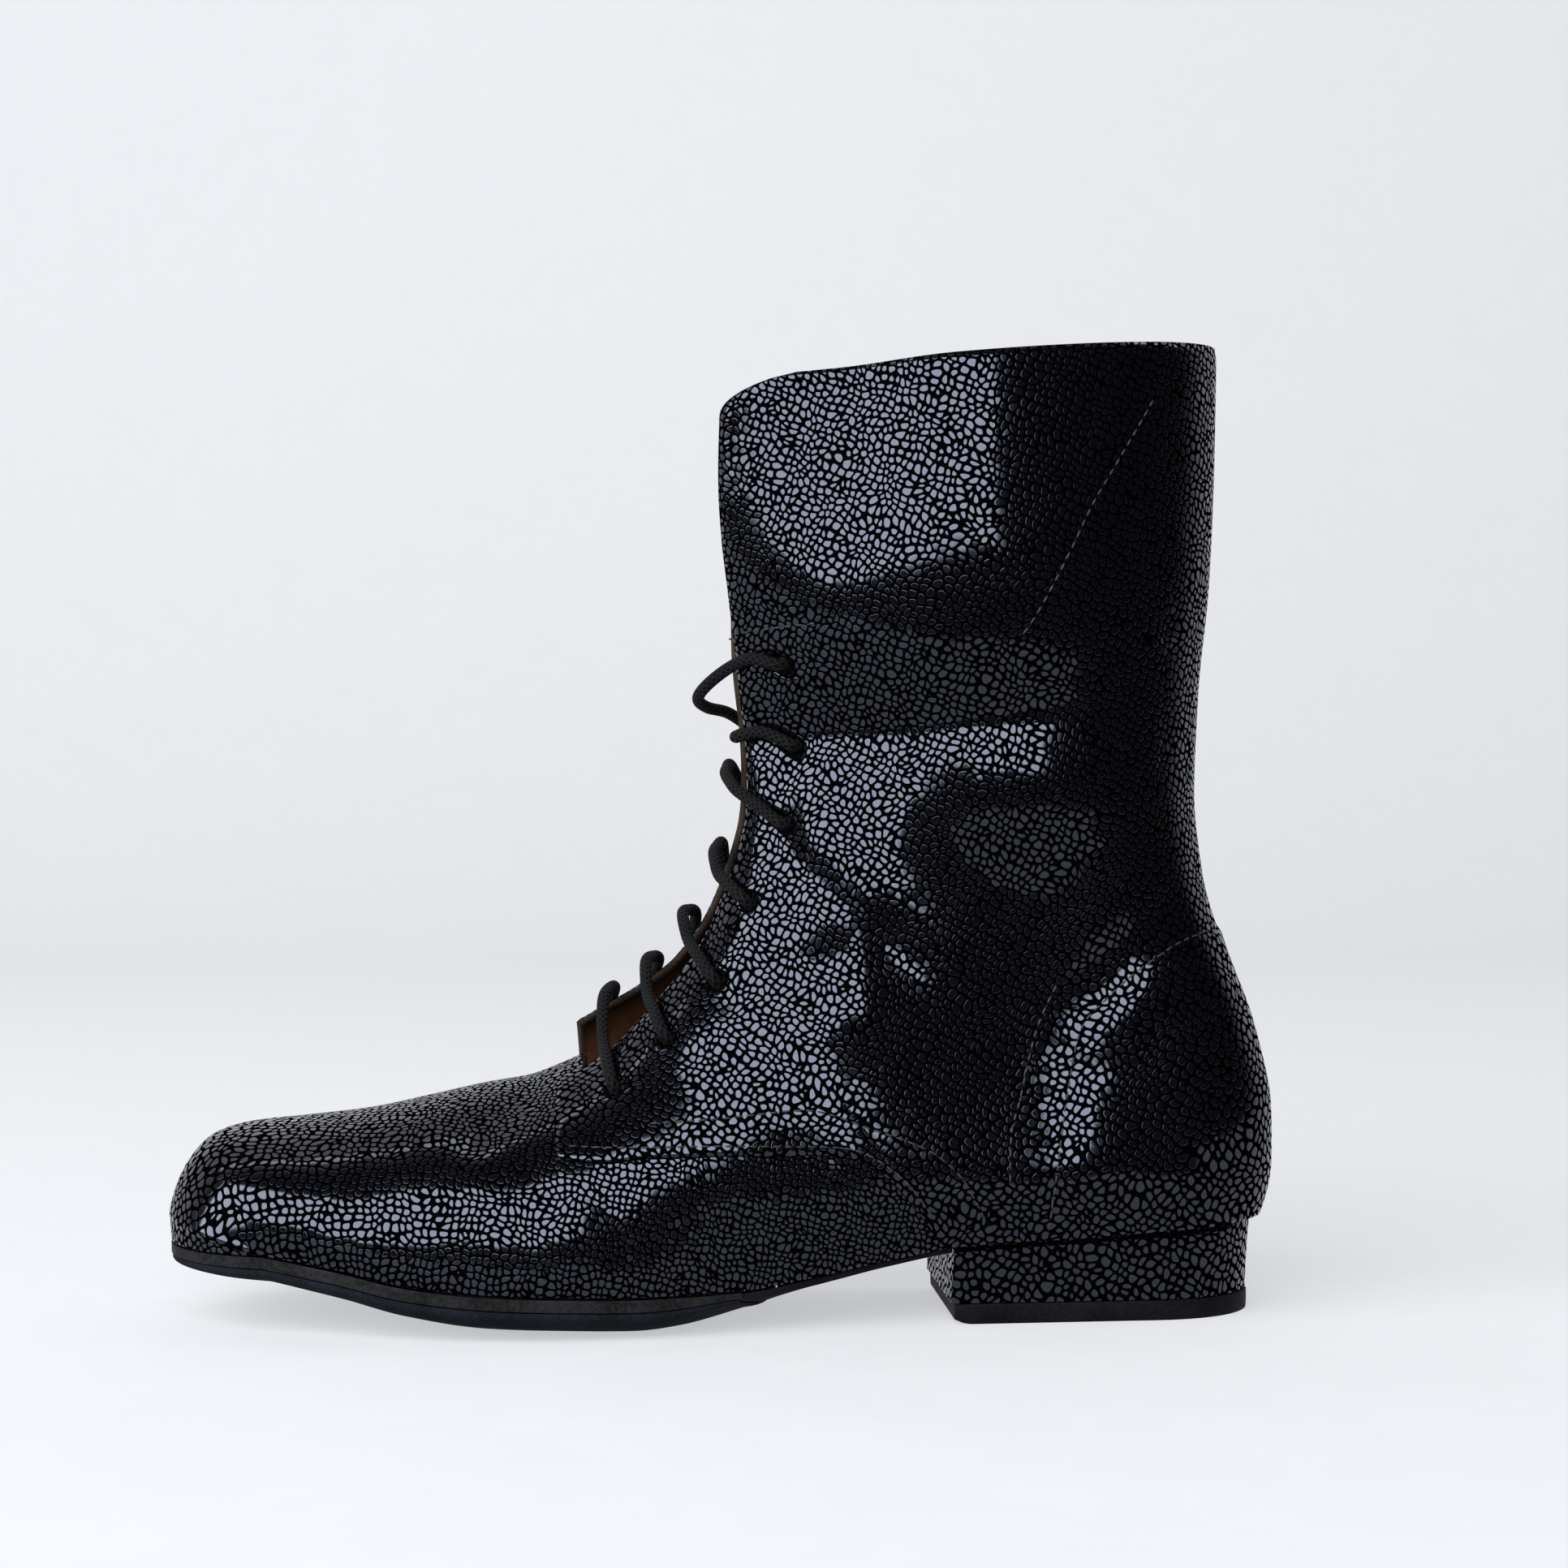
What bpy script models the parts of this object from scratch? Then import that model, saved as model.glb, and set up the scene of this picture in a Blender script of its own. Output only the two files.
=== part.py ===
"""Left lace-up dance boot with a split sole and a block heel.

The upper is lofted through fan-shaped sections. Each section lies in a plane that runs from a base point
(the feather line under the foot, then the back of the heel and shaft) to a ridge point (toe, instep, then the
front of the shaft). Sizes are in millimetres. x runs from the toe (-) to the heel (+), y from the outer side
(-) to the inner side (+), z up from the floor.
"""
import math

import bmesh
import bpy
import numpy as np
from mathutils import Matrix, Vector

MM = 0.001

# Driving sizes.
TOE_X = -143.4
HEEL_X = 138.4
TOE_CAP_LENGTH = 26.4
HEEL_CAP_LENGTH = 33.4
TOE_POWER = 2.6
TOE_TAPER = 5.5
HEEL_POWER = 2.35
VAMP_WALL = 1.6
QUARTER_WALL = 2.2
QUARTER_STEP = 1.2
COUNTER_STEP = 0.7
SEAT_GAP = 0.3
FLANGE_ROWS = 0.55

# Outline of the upper where it meets the sole: x, outer and inner half width.
OUTLINE = (
    (-117, 36.6, 38.8),
    (-98, 42.8, 44.0),
    (-75, 47.8, 47.4),
    (-55, 49.6, 46.6),
    (-35, 48.2, 42.8),
    (-12, 44.2, 36.2),
    (12, 39.4, 30.6),
    (36, 35.4, 28.4),
    (60, 32.6, 29.2),
    (84, 31.4, 30.6),
    (105, 30.4, 30.4),
)

# Height of the feather line, with toe spring, ball, arch and heel seat: x, z.
FEATHER = (
    (-143.4, 21.0),
    (-117, 20.6),
    (-98, 17.6),
    (-83, 14.4),
    (-66, 12.4),
    (-45, 11.3),
    (-20, 10.6),
    (0, 11.2),
    (20, 14.0),
    (40, 18.0),
    (58, 20.9),
    (80, 22.3),
    (110, 24.1),
    (145, 25.9),
)

# How far the soft sole sags between its two edges: x, depth.
SAG = ((-145, 0.0), (-112, 1.6), (-80, 3.8), (-60, 5.0), (-12, 5.0), (10, 2.6), (40, 0.8), (58, 0.0), (145, 0.0))

# Fan sections from the toe to the collar: ridge x and z, base x and z (0 = on the feather line), widest half
# width outside and inside (0 = as the outline), power of the ridge side and of the base side, width lost
# towards the ridge, and the ridge's shift to the inner side.
SECTIONS = (
    (-143.4, 21.0, -117, 0, 0, 0, 2.60, 2.4, 5.5, 0.5),
    (-143.9, 27.5, -114.5, 0, 38.0, 39.8, 2.55, 2.4, 5.5, 0.5),
    (-142.4, 34.4, -111.5, 0, 39.0, 40.8, 2.50, 2.4, 5.5, 0.8),
    (-138.9, 41.4, -108, 0, 40.2, 42.0, 2.45, 2.4, 5.5, 1.2),
    (-133.6, 46.6, -104, 0, 41.6, 43.2, 2.40, 2.4, 5.0, 1.6),
    (-124.0, 49.3, -99.5, 0, 43.2, 44.6, 2.35, 2.4, 4.0, 2.2),
    (-110.0, 50.4, -94, 0, 45.0, 46.0, 2.30, 2.4, 3.0, 3.0),
    (-94.0, 51.6, -86.5, 0, 46.8, 47.2, 2.25, 2.4, 2.0, 4.0),
    (-77.0, 54.8, -75, 0, 49.0, 48.6, 2.15, 2.4, 1.0, 5.0),
    (-60.0, 59.2, -60, 0, 50.6, 48.2, 2.05, 2.4, 0.0, 6.0),
    (-44.0, 63.4, -44, 0, 50.2, 45.6, 1.95, 2.4, 0.0, 6.5),
    (-32.0, 69.8, -24, 0, 47.6, 41.0, 2.10, 2.4, 0.0, 6.5),
    (-21.5, 80.0, -2, 0, 44.0, 38.0, 2.25, 2.4, 0.0, 6.0),
    (-12.0, 90.8, 20, 0, 41.0, 36.0, 2.30, 2.4, 0.0, 5.0),
    (-5.5, 101.0, 42, 0, 38.6, 35.2, 2.30, 2.5, 0.0, 3.5),
    (-1.5, 111.0, 62, 0, 37.4, 35.2, 2.25, 2.6, 0.0, 2.0),
    (1.2, 121.0, 84, 0, 36.8, 35.6, 2.15, 2.7, 0.0, 1.0),
    (2.8, 130.5, 108, 0, 36.6, 36.0, 2.05, 2.8, 0.0, 0.5),
    (3.4, 139.0, 127, 0, 36.5, 36.3, 2.00, 2.8, 0.0, 0.0),
    (3.6, 146.0, 138.4, 0, 36.5, 36.5, 1.90, 2.8, 0.0, 0.0),
    (3.6, 152.5, 141.2, 38.0, 36.5, 36.5, 1.78, 2.8, 0.0, 0.0),
    (3.2, 159.5, 141.6, 53.0, 36.6, 36.6, 1.68, 2.7, 0.0, 0.0),
    (2.6, 168.0, 138.0, 73.0, 37.2, 37.2, 1.58, 2.6, 0.0, 0.0),
    (1.6, 178.0, 130.8, 94.0, 38.2, 38.2, 1.50, 2.5, 0.0, 0.0),
    (0.2, 189.5, 125.0, 115.0, 39.6, 39.6, 1.50, 2.4, 0.0, 0.0),
    (-1.2, 201.0, 122.6, 137.0, 41.2, 41.2, 1.50, 2.3, 0.0, 0.0),
    (-2.2, 212.5, 123.6, 162.0, 42.6, 42.6, 1.50, 2.3, 0.0, 0.0),
    (-2.7, 224.0, 126.4, 190.0, 43.5, 43.5, 1.50, 2.3, 0.0, 0.0),
    (-2.8, 233.0, 127.8, 221.0, 44.0, 44.0, 1.50, 2.3, 0.0, 0.0),
    (-2.4, 240.5, 128.4, 252.0, 44.2, 44.2, 1.50, 2.3, 0.0, 0.0),
)
FLAP_ROW = 10
MEDIAL_FLAP_LAG = 0.42
HEEL_ROW = 19
COLLAR_ROW = len(SECTIONS) - 1
CORNER_ROW = 28.4

# Half width of the lacing gap and the flaps' lift off the vamp: row, outer gap, inner gap, outer lift, inner lift.
LACING_GAP = (
    (10, 19.0, 9.0, 0.0, 9.0),
    (11, 17.5, 8.5, 0.0, 8.0),
    (12, 15.5, 8.5, 0.0, 4.0),
    (13, 13.5, 8.5, 0.0, 1.2),
    (15, 11.0, 8.5, 0.0, 0.0),
    (20, 9.0, 9.0, 0.0, 0.0),
    (22, 10.0, 10.0, 0.0, 0.0),
    (24, 13.0, 15.0, 0.0, 0.0),
    (26, 17.0, 21.0, 0.0, 0.0),
    (28.4, 22.0, 27.0, 0.0, 0.0),
    (29, 27.0, 32.0, 0.0, 0.0),
)

# Lower edge of the quarter, seen from the side: x, z.
QUARTER_EDGE = ((-43.9, 42.8), (-24, 43.4), (-6, 44.4), (14, 44.4), (28, 44.0), (36, 40.6), (43, 34.8), (48, 28.0))
QUARTER_END_X = 54.5

# Front edge of the counter, seen from the side: z, x.
COUNTER_EDGE = ((20, 79), (44, 82.5), (59, 85.4), (74, 89.5), (82.5, 96), (89, 103), (96.5, 115), (99.8, 128), (101, 150))
COUNTER_SLOPE = 5.0

# Main folds of the slack shaft: x, z, tilt in degrees, half length, half width, depth (minus = a bulge).
FOLDS = (
    (54, 152, 6, 44, 13, 5.0),
    (44, 182, -10, 46, 14, -3.0),
    (48, 130, 12, 46, 11, -2.4),
    (88, 106, -38, 30, 8, 2.6),
    (20, 112, 48, 26, 8, 1.8),
    (-58, 52, 38, 12, 5, 1.2),
    (64, 82, 80, 30, 20, 3.0),
)

# Eyelets, seen from the side: row number from the throat, x, z.
EYELETS = ((1, -28.5, 59.5), (2, -15.6, 72.4), (3, -3.2, 87.2), (4, 5.4, 107.3), (5, 14.0, 127.4), (6, 15.4, 147.6), (7, 13.6, 168.2))
EYELET_DIAMETER = 4.6
EYELET_DEPTH = 7.0
LACE_DIAMETER = 3.2

LATERAL = -1
MEDIAL = 1

# Lace, from its end at the top outer eyelet: each stretch over the front, as eyelet and side at both ends, and how
# far it bulges and droops. Between them it runs inside one flap, shifted sideways by an angle to pass the eyelets between.
LACE_BARS = (
    ((7, LATERAL), (6, MEDIAL), 8.0, 3.0),
    ((5, MEDIAL), (5, LATERAL), 2.5, 0.0),
    ((3, LATERAL), (3, MEDIAL), 4.5, 0.0),
    ((1, MEDIAL), (1, LATERAL), 4.5, 0.0),
    ((2, LATERAL), (2, MEDIAL), 4.5, 0.0),
    ((4, MEDIAL), (4, LATERAL), 2.5, 0.0),
    ((6, LATERAL), (7, MEDIAL), -3.0, 4.0),
)
LACE_SHIFT = (0.0, 0.1, 0.14, 0.0, -0.14, -0.1)
# How far the lace slides along the row of eyelets on its way to the flap's edge, in shares of the next step.
LACE_SLIDE = {LATERAL: (0.0, 0.0, 0.0, 0.0, 0.0, -0.35, -0.4), MEDIAL: (0.35, 0.35, 0.35, 0.35, 0.3, 0.0, 0.0)}
# Way of the lace from an eyelet to the flap's edge: share of the way, height in ride heights.
LACE_ARCH = ((0.25, 0.7), (0.5, 1.0), (0.75, 0.7))
# A stretch that dips between the flaps is out again before the far one.
LACE_DIP = ((0.25, 0.7), (0.5, 0.7), (0.75, 0.0))
LACE_CLIMB = ((0.0, 0.5), (0.13, 1.0), (0.5, 1.1), (1.0, 1.15))

# Sole, heel and top piece.
PAD_REAR_X = 2.0
PAD_REAR_BOW = 11.0
MIDSOLE_THICK = 3.0
OUTSOLE_THICK = 3.0
WAIST_THICK = 1.6
INSOLE_THICK = 2.4
INSOLE_PLAY = 1.2
BREAST_X = 56.6
TOP_PIECE_THICK = 5.2
HEEL_TAPER = 3.2
HEEL_SEAT_DROP = 0.8


def smooth(table, column, at):
    """Monotone cubic through one column of a table, against its first column."""
    xs = np.array([row[0] for row in table], dtype=float)
    ys = np.array([row[column] for row in table], dtype=float)
    slopes = np.diff(ys) / np.diff(xs)
    tangents = np.zeros(len(xs))
    tangents[0] = slopes[0]
    tangents[-1] = slopes[-1]
    for i in range(1, len(xs) - 1):
        if slopes[i - 1] * slopes[i] > 0:
            tangents[i] = 2 * slopes[i - 1] * slopes[i] / (slopes[i - 1] + slopes[i])
    at = min(max(at, xs[0]), xs[-1])
    i = min(int(np.searchsorted(xs, at, side="right")) - 1, len(xs) - 2)
    step = xs[i + 1] - xs[i]
    s = (at - xs[i]) / step
    rise = ys[i + 1] - ys[i]
    cubic = tangents[i] * step * (s - 2 * s * s + s ** 3) + tangents[i + 1] * step * (s ** 3 - s * s)
    return float(ys[i] + rise * (3 * s * s - 2 * s ** 3) + cubic)


def feather(x):
    """Height of the feather line, straight under the toe cap."""
    (toe_x, toe_z), (cap_x, cap_z) = FEATHER[:2]
    if x < cap_x:
        return cap_z + (toe_z - cap_z) * (cap_x - x) / (cap_x - toe_x)
    return smooth(FEATHER[1:], 1, x)


def outline(x, side):
    """Half width of the upper's outline at the feather line."""
    column = 1 if side == LATERAL else 2
    first, last = OUTLINE[0], OUTLINE[-1]
    if x < first[0]:
        reach = min((first[0] - x) / TOE_CAP_LENGTH, 1.0)
        return (first[column] - TOE_TAPER * reach) * (1 - reach ** TOE_POWER) ** (1 / TOE_POWER)
    if x > last[0]:
        reach = min((x - last[0]) / HEEL_CAP_LENGTH, 1.0)
        return last[column] * (1 - reach ** HEEL_POWER) ** (1 / HEEL_POWER)
    return smooth(OUTLINE, column, x)


SECTION_ROWS = tuple((row,) + values for row, values in enumerate(SECTIONS))


class Section:
    """One fan section at a row number, which may lie between two rows of the table."""

    def __init__(self, row):
        self.row = row
        names = ("ridge_x", "ridge_z", "base_x", "base_z", "half_lat", "half_med", "top", "low", "lost", "shift")
        for column, name in enumerate(names, start=1):
            setattr(self, name, smooth(SECTION_ROWS, column, row))
        if row <= HEEL_ROW:
            self.base_z = feather(self.base_x)
        elif row < HEEL_ROW + 1:
            share = row - HEEL_ROW
            self.base_z = (1 - share) * feather(HEEL_X) + share * SECTIONS[HEEL_ROW + 1][3]
        if row > HEEL_ROW - 1:
            self.open_front()

    def open_front(self):
        """Above the heel row the table gives the flap's edge, so the ridge lies as far beyond it as the gap is wide."""
        share = min(max(self.row - HEEL_ROW + 1, 0.0), 1.0)
        gap = smooth(LACING_GAP, 1, min(self.row, CORNER_ROW))
        edge = (1 + (1 - (gap / self.half_lat) ** self.top) ** (1 / self.top)) / 2
        reach = 1 + share * (1 / edge - 1)
        self.ridge_x = self.base_x + (self.ridge_x - self.base_x) * reach
        self.ridge_z = self.base_z + (self.ridge_z - self.base_z) * reach

    def half(self, side):
        """Base and widest half width on one side."""
        base = outline(self.base_x, side) if self.row < HEEL_ROW else 0.0
        widest = self.half_lat if side == LATERAL else self.half_med
        return base, max(base, widest)

    def base_angle(self, side):
        base, widest = self.half(side)
        share = min(base / widest, 1.0) ** (self.low / 2)
        return math.pi - math.asin(share)

    def place(self, angle, side, lift=0.0):
        """Point of the section at an angle from the ridge."""
        widest = self.half(side)[1]
        power = self.top if angle <= math.pi / 2 else self.low
        cosine, sine = math.cos(angle), math.sin(angle)
        height = math.copysign(abs(cosine) ** (2 / power), cosine)
        width = abs(sine) ** (2 / power)
        lowest = -abs(math.cos(self.base_angle(side))) ** (2 / self.low)
        rise = (height - lowest) / (1 - lowest)
        y = side * (widest - self.lost * max(height, 0)) * width + self.shift * rise
        x = self.base_x + rise * (self.ridge_x - self.base_x)
        z = self.base_z + rise * (self.ridge_z - self.base_z)
        up = Vector((self.ridge_x - self.base_x, 0, self.ridge_z - self.base_z)).normalized()
        return Vector((x, y, z)) + up * lift

    def angle_at_width(self, y, side):
        """Angle from the ridge at which the section is y wide."""
        widest = self.half(side)[1]
        return math.asin(min(y / widest, 1.0) ** (self.top / 2))

    def angle_at_rise(self, rise, side):
        lowest = -abs(math.cos(self.base_angle(side))) ** (2 / self.low)
        height = lowest + rise * (1 - lowest)
        if height >= 0:
            return math.acos(min(height, 1.0) ** (self.top / 2))
        return math.pi - math.acos(min(-height, 1.0) ** (self.low / 2))


def side_rise(section, x, z):
    """Share of the way from base to ridge, and the distance ahead of the section's plane."""
    dx, dz = section.ridge_x - section.base_x, section.ridge_z - section.base_z
    px, pz = x - section.base_x, z - section.base_z
    length = dx * dx + dz * dz
    return (px * dx + pz * dz) / length, (px * dz - pz * dx) / math.sqrt(length)


def find_row(x, z):
    """Row of the fan plane through a point of the side view."""
    low, high = 0.0, float(COLLAR_ROW)
    for _ in range(40):
        middle = (low + high) / 2
        if side_rise(Section(middle), x, z)[1] > 0:
            low = middle
        else:
            high = middle
    return (low + high) / 2


def fold_depth(x, z):
    """Inward push of all folds at a point of the side view."""
    depth = 0.0
    for fold_x, fold_z, tilt, half_length, half_width, push in FOLDS:
        cosine, sine = math.cos(math.radians(tilt)), math.sin(math.radians(tilt))
        along = (x - fold_x) * cosine + (z - fold_z) * sine
        across = (z - fold_z) * cosine - (x - fold_x) * sine
        depth += push * math.exp(-(across / half_width) ** 2 - (along / half_length) ** 4)
    return depth


def counter_raise(x, z):
    """Outward step of the counter under the quarter at the heel."""
    share = min(max((x - smooth(COUNTER_EDGE, 1, z)) / COUNTER_SLOPE, 0.0), 1.0)
    return COUNTER_STEP * share * share * (3 - 2 * share)


def gap_angle(section, side):
    column = 1 if side == LATERAL else 2
    return section.angle_at_width(smooth(LACING_GAP, column, section.row), side)


def flap_lift(section, angle, side):
    """How far a free flap stands off the vamp."""
    column = 3 if side == LATERAL else 4
    edge = gap_angle(section, side)
    reach = math.radians(72)
    share = min(max((reach - angle) / (reach - edge), 0.0), 1.0)
    return smooth(LACING_GAP, column, section.row) * share * share * (3 - 2 * share)


def surface(row, angle, side, lifted):
    section = Section(row)
    lift = flap_lift(section, angle, side) if lifted else 0.0
    return section.place(angle, side, lift)


def surface_normal(row, angle, side, lifted):
    step_row = 0.05 if row < COLLAR_ROW - 0.05 else -0.05
    here = surface(row, angle, side, lifted)
    along = surface(row + step_row, angle, side, lifted) - here
    around = surface(row, angle + 0.01, side, lifted) - here
    normal = along.cross(around).normalized() * (side * math.copysign(1, step_row))
    return normal


def edge_angles(points, side):
    """Rows and section angles of an edge given in the side view."""
    table = []
    for x, z in points:
        row = find_row(x, z)
        section = Section(row)
        table.append((row, section.angle_at_rise(side_rise(section, x, z)[0], side)))
    return table


def quarter_edge(side):
    end_row = find_row(QUARTER_END_X, feather(QUARTER_END_X))
    return edge_angles(QUARTER_EDGE, side) + [(end_row, Section(end_row).base_angle(side))]


def material(name, colour, roughness):
    finish = bpy.data.materials.new(name)
    finish.use_nodes = True
    shader = finish.node_tree.nodes["Principled BSDF"]
    shader.inputs["Base Color"].default_value = (*colour, 1)
    shader.inputs["Roughness"].default_value = roughness
    shader.inputs["Metallic"].default_value = 0.0
    return finish


def add_object(name, bm, finish):
    bmesh.ops.recalc_face_normals(bm, faces=bm.faces)
    mesh = bpy.data.meshes.new(name)
    bm.to_mesh(mesh)
    bm.free()
    mesh.materials.append(finish)
    piece = bpy.data.objects.new(name, mesh)
    bpy.context.collection.objects.link(piece)
    return piece


def grid(rows, columns):
    """Flat grid whose vertices carry row share 0..1 in x and side share -1..1 in y."""
    bm = bmesh.new()
    bmesh.ops.create_grid(bm, x_segments=rows, y_segments=columns, size=1.0)
    for vert in bm.verts:
        vert.co.x = (vert.co.x + 1) / 2
    return bm


def fold_and_offset(bm, outward):
    """Press the folds in and push the sheet outward along its normals."""
    bm.normal_update()
    lean = sum((vert.normal.y * vert.co.y for vert in bm.verts), 0.0)
    if lean < 0:
        bmesh.ops.reverse_faces(bm, faces=bm.faces)
        bm.normal_update()
    moves = []
    for vert in bm.verts:
        push = outward + counter_raise(vert.co.x, vert.co.z) - fold_depth(vert.co.x, vert.co.z)
        moves.append(vert.normal * push)
    for vert, move in zip(bm.verts, moves):
        vert.co += move


def thicken(bm, wall):
    """Close a sheet into a wall, inward of the sheet, and scale it to metres."""
    bm.normal_update()
    bmesh.ops.solidify(bm, geom=bm.faces[:], thickness=wall)
    bmesh.ops.scale(bm, vec=(MM, MM, MM), verts=bm.verts)


def drop_faces(bm, test):
    doomed = [face for face in bm.faces if test(face.calc_center_median())]
    bmesh.ops.delete(bm, geom=doomed, context="FACES")
    loose = [vert for vert in bm.verts if not vert.link_faces]
    bmesh.ops.delete(bm, geom=loose, context="VERTS")


def vamp_sheet(rows=26, columns=22, wing_columns=10):
    """Vamp with its two wings, which run on under the quarters."""
    edges = {side: quarter_edge(side) for side in (LATERAL, MEDIAL)}
    last_row = edges[LATERAL][-1][0]
    flange_end = FLAP_ROW + FLANGE_ROWS
    lap = math.radians(9)
    split = 1 - wing_columns / columns
    bm = grid(rows, columns)
    drop_faces(bm, lambda c: abs(c.y) < split and c.x * last_row > flange_end)
    for vert in bm.verts:
        row = vert.co.x * last_row
        side = LATERAL if vert.co.y < 0 else MEDIAL
        section = Section(row)
        base = section.base_angle(side)
        wing_top = smooth(edges[side], 1, row) - lap
        share = abs(vert.co.y)
        if share < split:
            angle = wing_top * share / split
        else:
            angle = wing_top + (base - wing_top) * (share - split) / (1 - split)
        vert.co = section.place(angle, side)
    return bm


def quarter_sheet(rows=32, columns=26):
    """Both quarters with the shaft, joined at the back above the heel seat."""
    edges = {side: quarter_edge(side) for side in (LATERAL, MEDIAL)}
    bm = grid(rows, columns)
    inner = 2.0 / columns
    span = COLLAR_ROW - FLAP_ROW
    drop_faces(bm, lambda c: abs(c.y) < inner and FLAP_ROW + c.x * span < HEEL_ROW)
    for vert in bm.verts:
        row = FLAP_ROW + vert.co.x * span
        side = LATERAL if vert.co.y < 0 else MEDIAL
        if side == MEDIAL:
            row += MEDIAL_FLAP_LAG * (1 - vert.co.x) ** 6
        if row < HEEL_ROW and abs(vert.co.y) < inner / 2:
            vert.co = Section(HEEL_ROW).place(math.pi, side)
            continue
        section = Section(row)
        edge = gap_angle(section, side)
        low = section.base_angle(side)
        if row < edges[side][-1][0]:
            low = smooth(edges[side], 1, row)
        if row < HEEL_ROW:
            share = (1 - abs(vert.co.y)) / (1 - inner)
        else:
            share = 1 - abs(vert.co.y)
        angle = edge + share * (low - edge)
        vert.co = section.place(angle, side, flap_lift(section, angle, side))
    return bm


def apply_boolean(piece, other, operation):
    step = piece.modifiers.new(operation, "BOOLEAN")
    step.operation = operation
    step.solver = "EXACT"
    step.object = other
    bpy.context.view_layer.objects.active = piece
    bpy.ops.object.modifier_apply(modifier=step.name)
    bpy.data.objects.remove(other)


def fill_pockets(piece):
    """Keep the largest shell, so that small pockets sealed between two layers are filled."""
    bm = bmesh.new()
    bm.from_mesh(piece.data)
    left = set(bm.faces)
    shells = []
    while left:
        shell = [left.pop()]
        for face in shell:
            for edge in face.edges:
                for other in edge.link_faces:
                    if other in left:
                        left.discard(other)
                        shell.append(other)
        shells.append(shell)
    largest = max(len(shell) for shell in shells)
    pockets = [face for shell in shells if len(shell) < largest for face in shell]
    bmesh.ops.delete(bm, geom=pockets, context="FACES")
    loose = [vert for vert in bm.verts if not vert.link_faces]
    bmesh.ops.delete(bm, geom=loose, context="VERTS")
    bm.to_mesh(piece.data)
    bm.free()


def eyelet_place(x, z, side):
    """Row and angle of an eyelet."""
    row = find_row(x, z)
    section = Section(row)
    return row, section.angle_at_rise(side_rise(section, x, z)[0], side)


def quarter_point(row, angle, side, outward):
    """Point at a distance outside the quarter's outer face."""
    here = surface(row, angle, side, True)
    normal = surface_normal(row, angle, side, True)
    return here + normal * (QUARTER_STEP + outward - fold_depth(here.x, here.z))


def make_upper(finish):
    """Vamp and quarters joined into one wall, with the eyelets punched."""
    vamp = vamp_sheet()
    fold_and_offset(vamp, 0.0)
    thicken(vamp, VAMP_WALL)
    upper = add_object("upper", vamp, finish)
    quarter = quarter_sheet()
    fold_and_offset(quarter, QUARTER_STEP)
    thicken(quarter, QUARTER_WALL)
    apply_boolean(upper, add_object("quarters", quarter, finish), "UNION")
    fill_pockets(upper)
    punches = bmesh.new()
    for side in (LATERAL, MEDIAL):
        for _, x, z in EYELETS:
            row, angle = eyelet_place(x, z, side)
            centre = quarter_point(row, angle, side, -QUARTER_WALL / 2) * MM
            turn = surface_normal(row, angle, side, True).to_track_quat("Z", "Y").to_matrix().to_4x4()
            bmesh.ops.create_cone(punches, cap_ends=True, segments=10, radius1=EYELET_DIAMETER / 2 * MM,
                                  radius2=EYELET_DIAMETER / 2 * MM, depth=EYELET_DEPTH * MM,
                                  matrix=Matrix.Translation(centre) @ turn)
    apply_boolean(upper, add_object("punches", punches, finish), "DIFFERENCE")
    return upper


def sag(x, y):
    """Drop of the sole between its edges."""
    share = min(abs(y) / outline(x, LATERAL if y < 0 else MEDIAL), 1.0)
    return smooth(SAG, 1, x) * (1 - share ** 4)


def crowd(share, round_ends):
    """Share 0..1 along a plate, crowded towards its round ends."""
    if round_ends == "both":
        return (1 - math.cos(math.pi * share)) / 2
    if round_ends == "front":
        return 1 - math.cos(math.pi / 2 * share)
    if round_ends == "back":
        return math.sin(math.pi / 2 * share)
    return share


def plate(name, finish, ends, rows, columns, place, round_ends, mid_cuts=0):
    """Closed plate. place(x, share, depth) gives a point; depth is 0 on top and 1 underneath.

    The rows crowd towards the ends that are round.
    """
    bm = grid(rows, columns)
    bmesh.ops.solidify(bm, geom=bm.faces[:], thickness=1.0)
    if mid_cuts:
        rim = [edge for edge in bm.edges if abs(edge.verts[0].co.z - edge.verts[1].co.z) > 0.5]
        bmesh.ops.subdivide_edges(bm, edges=rim, cuts=mid_cuts)
    lowest = min(vert.co.z for vert in bm.verts)
    highest = max(vert.co.z for vert in bm.verts)
    for vert in bm.verts:
        ease = crowd(vert.co.x, round_ends)
        depth = (highest - vert.co.z) / (highest - lowest)
        vert.co = place(ends[0] + (ends[1] - ends[0]) * ease, vert.co.y, depth) * MM
    return add_object(name, bm, finish)


def across(x, share, inset):
    """y at a share -1..1 of the outline's half width."""
    side = LATERAL if share < 0 else MEDIAL
    return share * max(outline(x, side) - inset, 0.5)


def make_insole(finish):
    inset = VAMP_WALL + INSOLE_PLAY

    def place(x, share, depth):
        y = across(x + math.copysign(inset, x), share, inset)
        z = feather(x) - sag(x, y) + 1.5 * SEAT_GAP + INSOLE_THICK * (1 - depth)
        return Vector((x, y, z))

    return plate("insole", finish, (TOE_X + inset + 0.6, HEEL_X - inset - 0.8), 20, 6, place, "both")


def pad_x(x, share):
    """Bow of the pad's rear edge."""
    reach = min(max((x - TOE_X) / (PAD_REAR_X - TOE_X), 0.0), 1.0)
    return x + PAD_REAR_BOW * (1 - share * share) * reach ** 6


def pad_taper(x):
    """Skived rear end of the pad's layers."""
    return smooth(((TOE_X, 0.85), (-120, 0.95), (-90, 1.0), (-24, 1.0), (PAD_REAR_X, 0.45)), 1, x)


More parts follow.
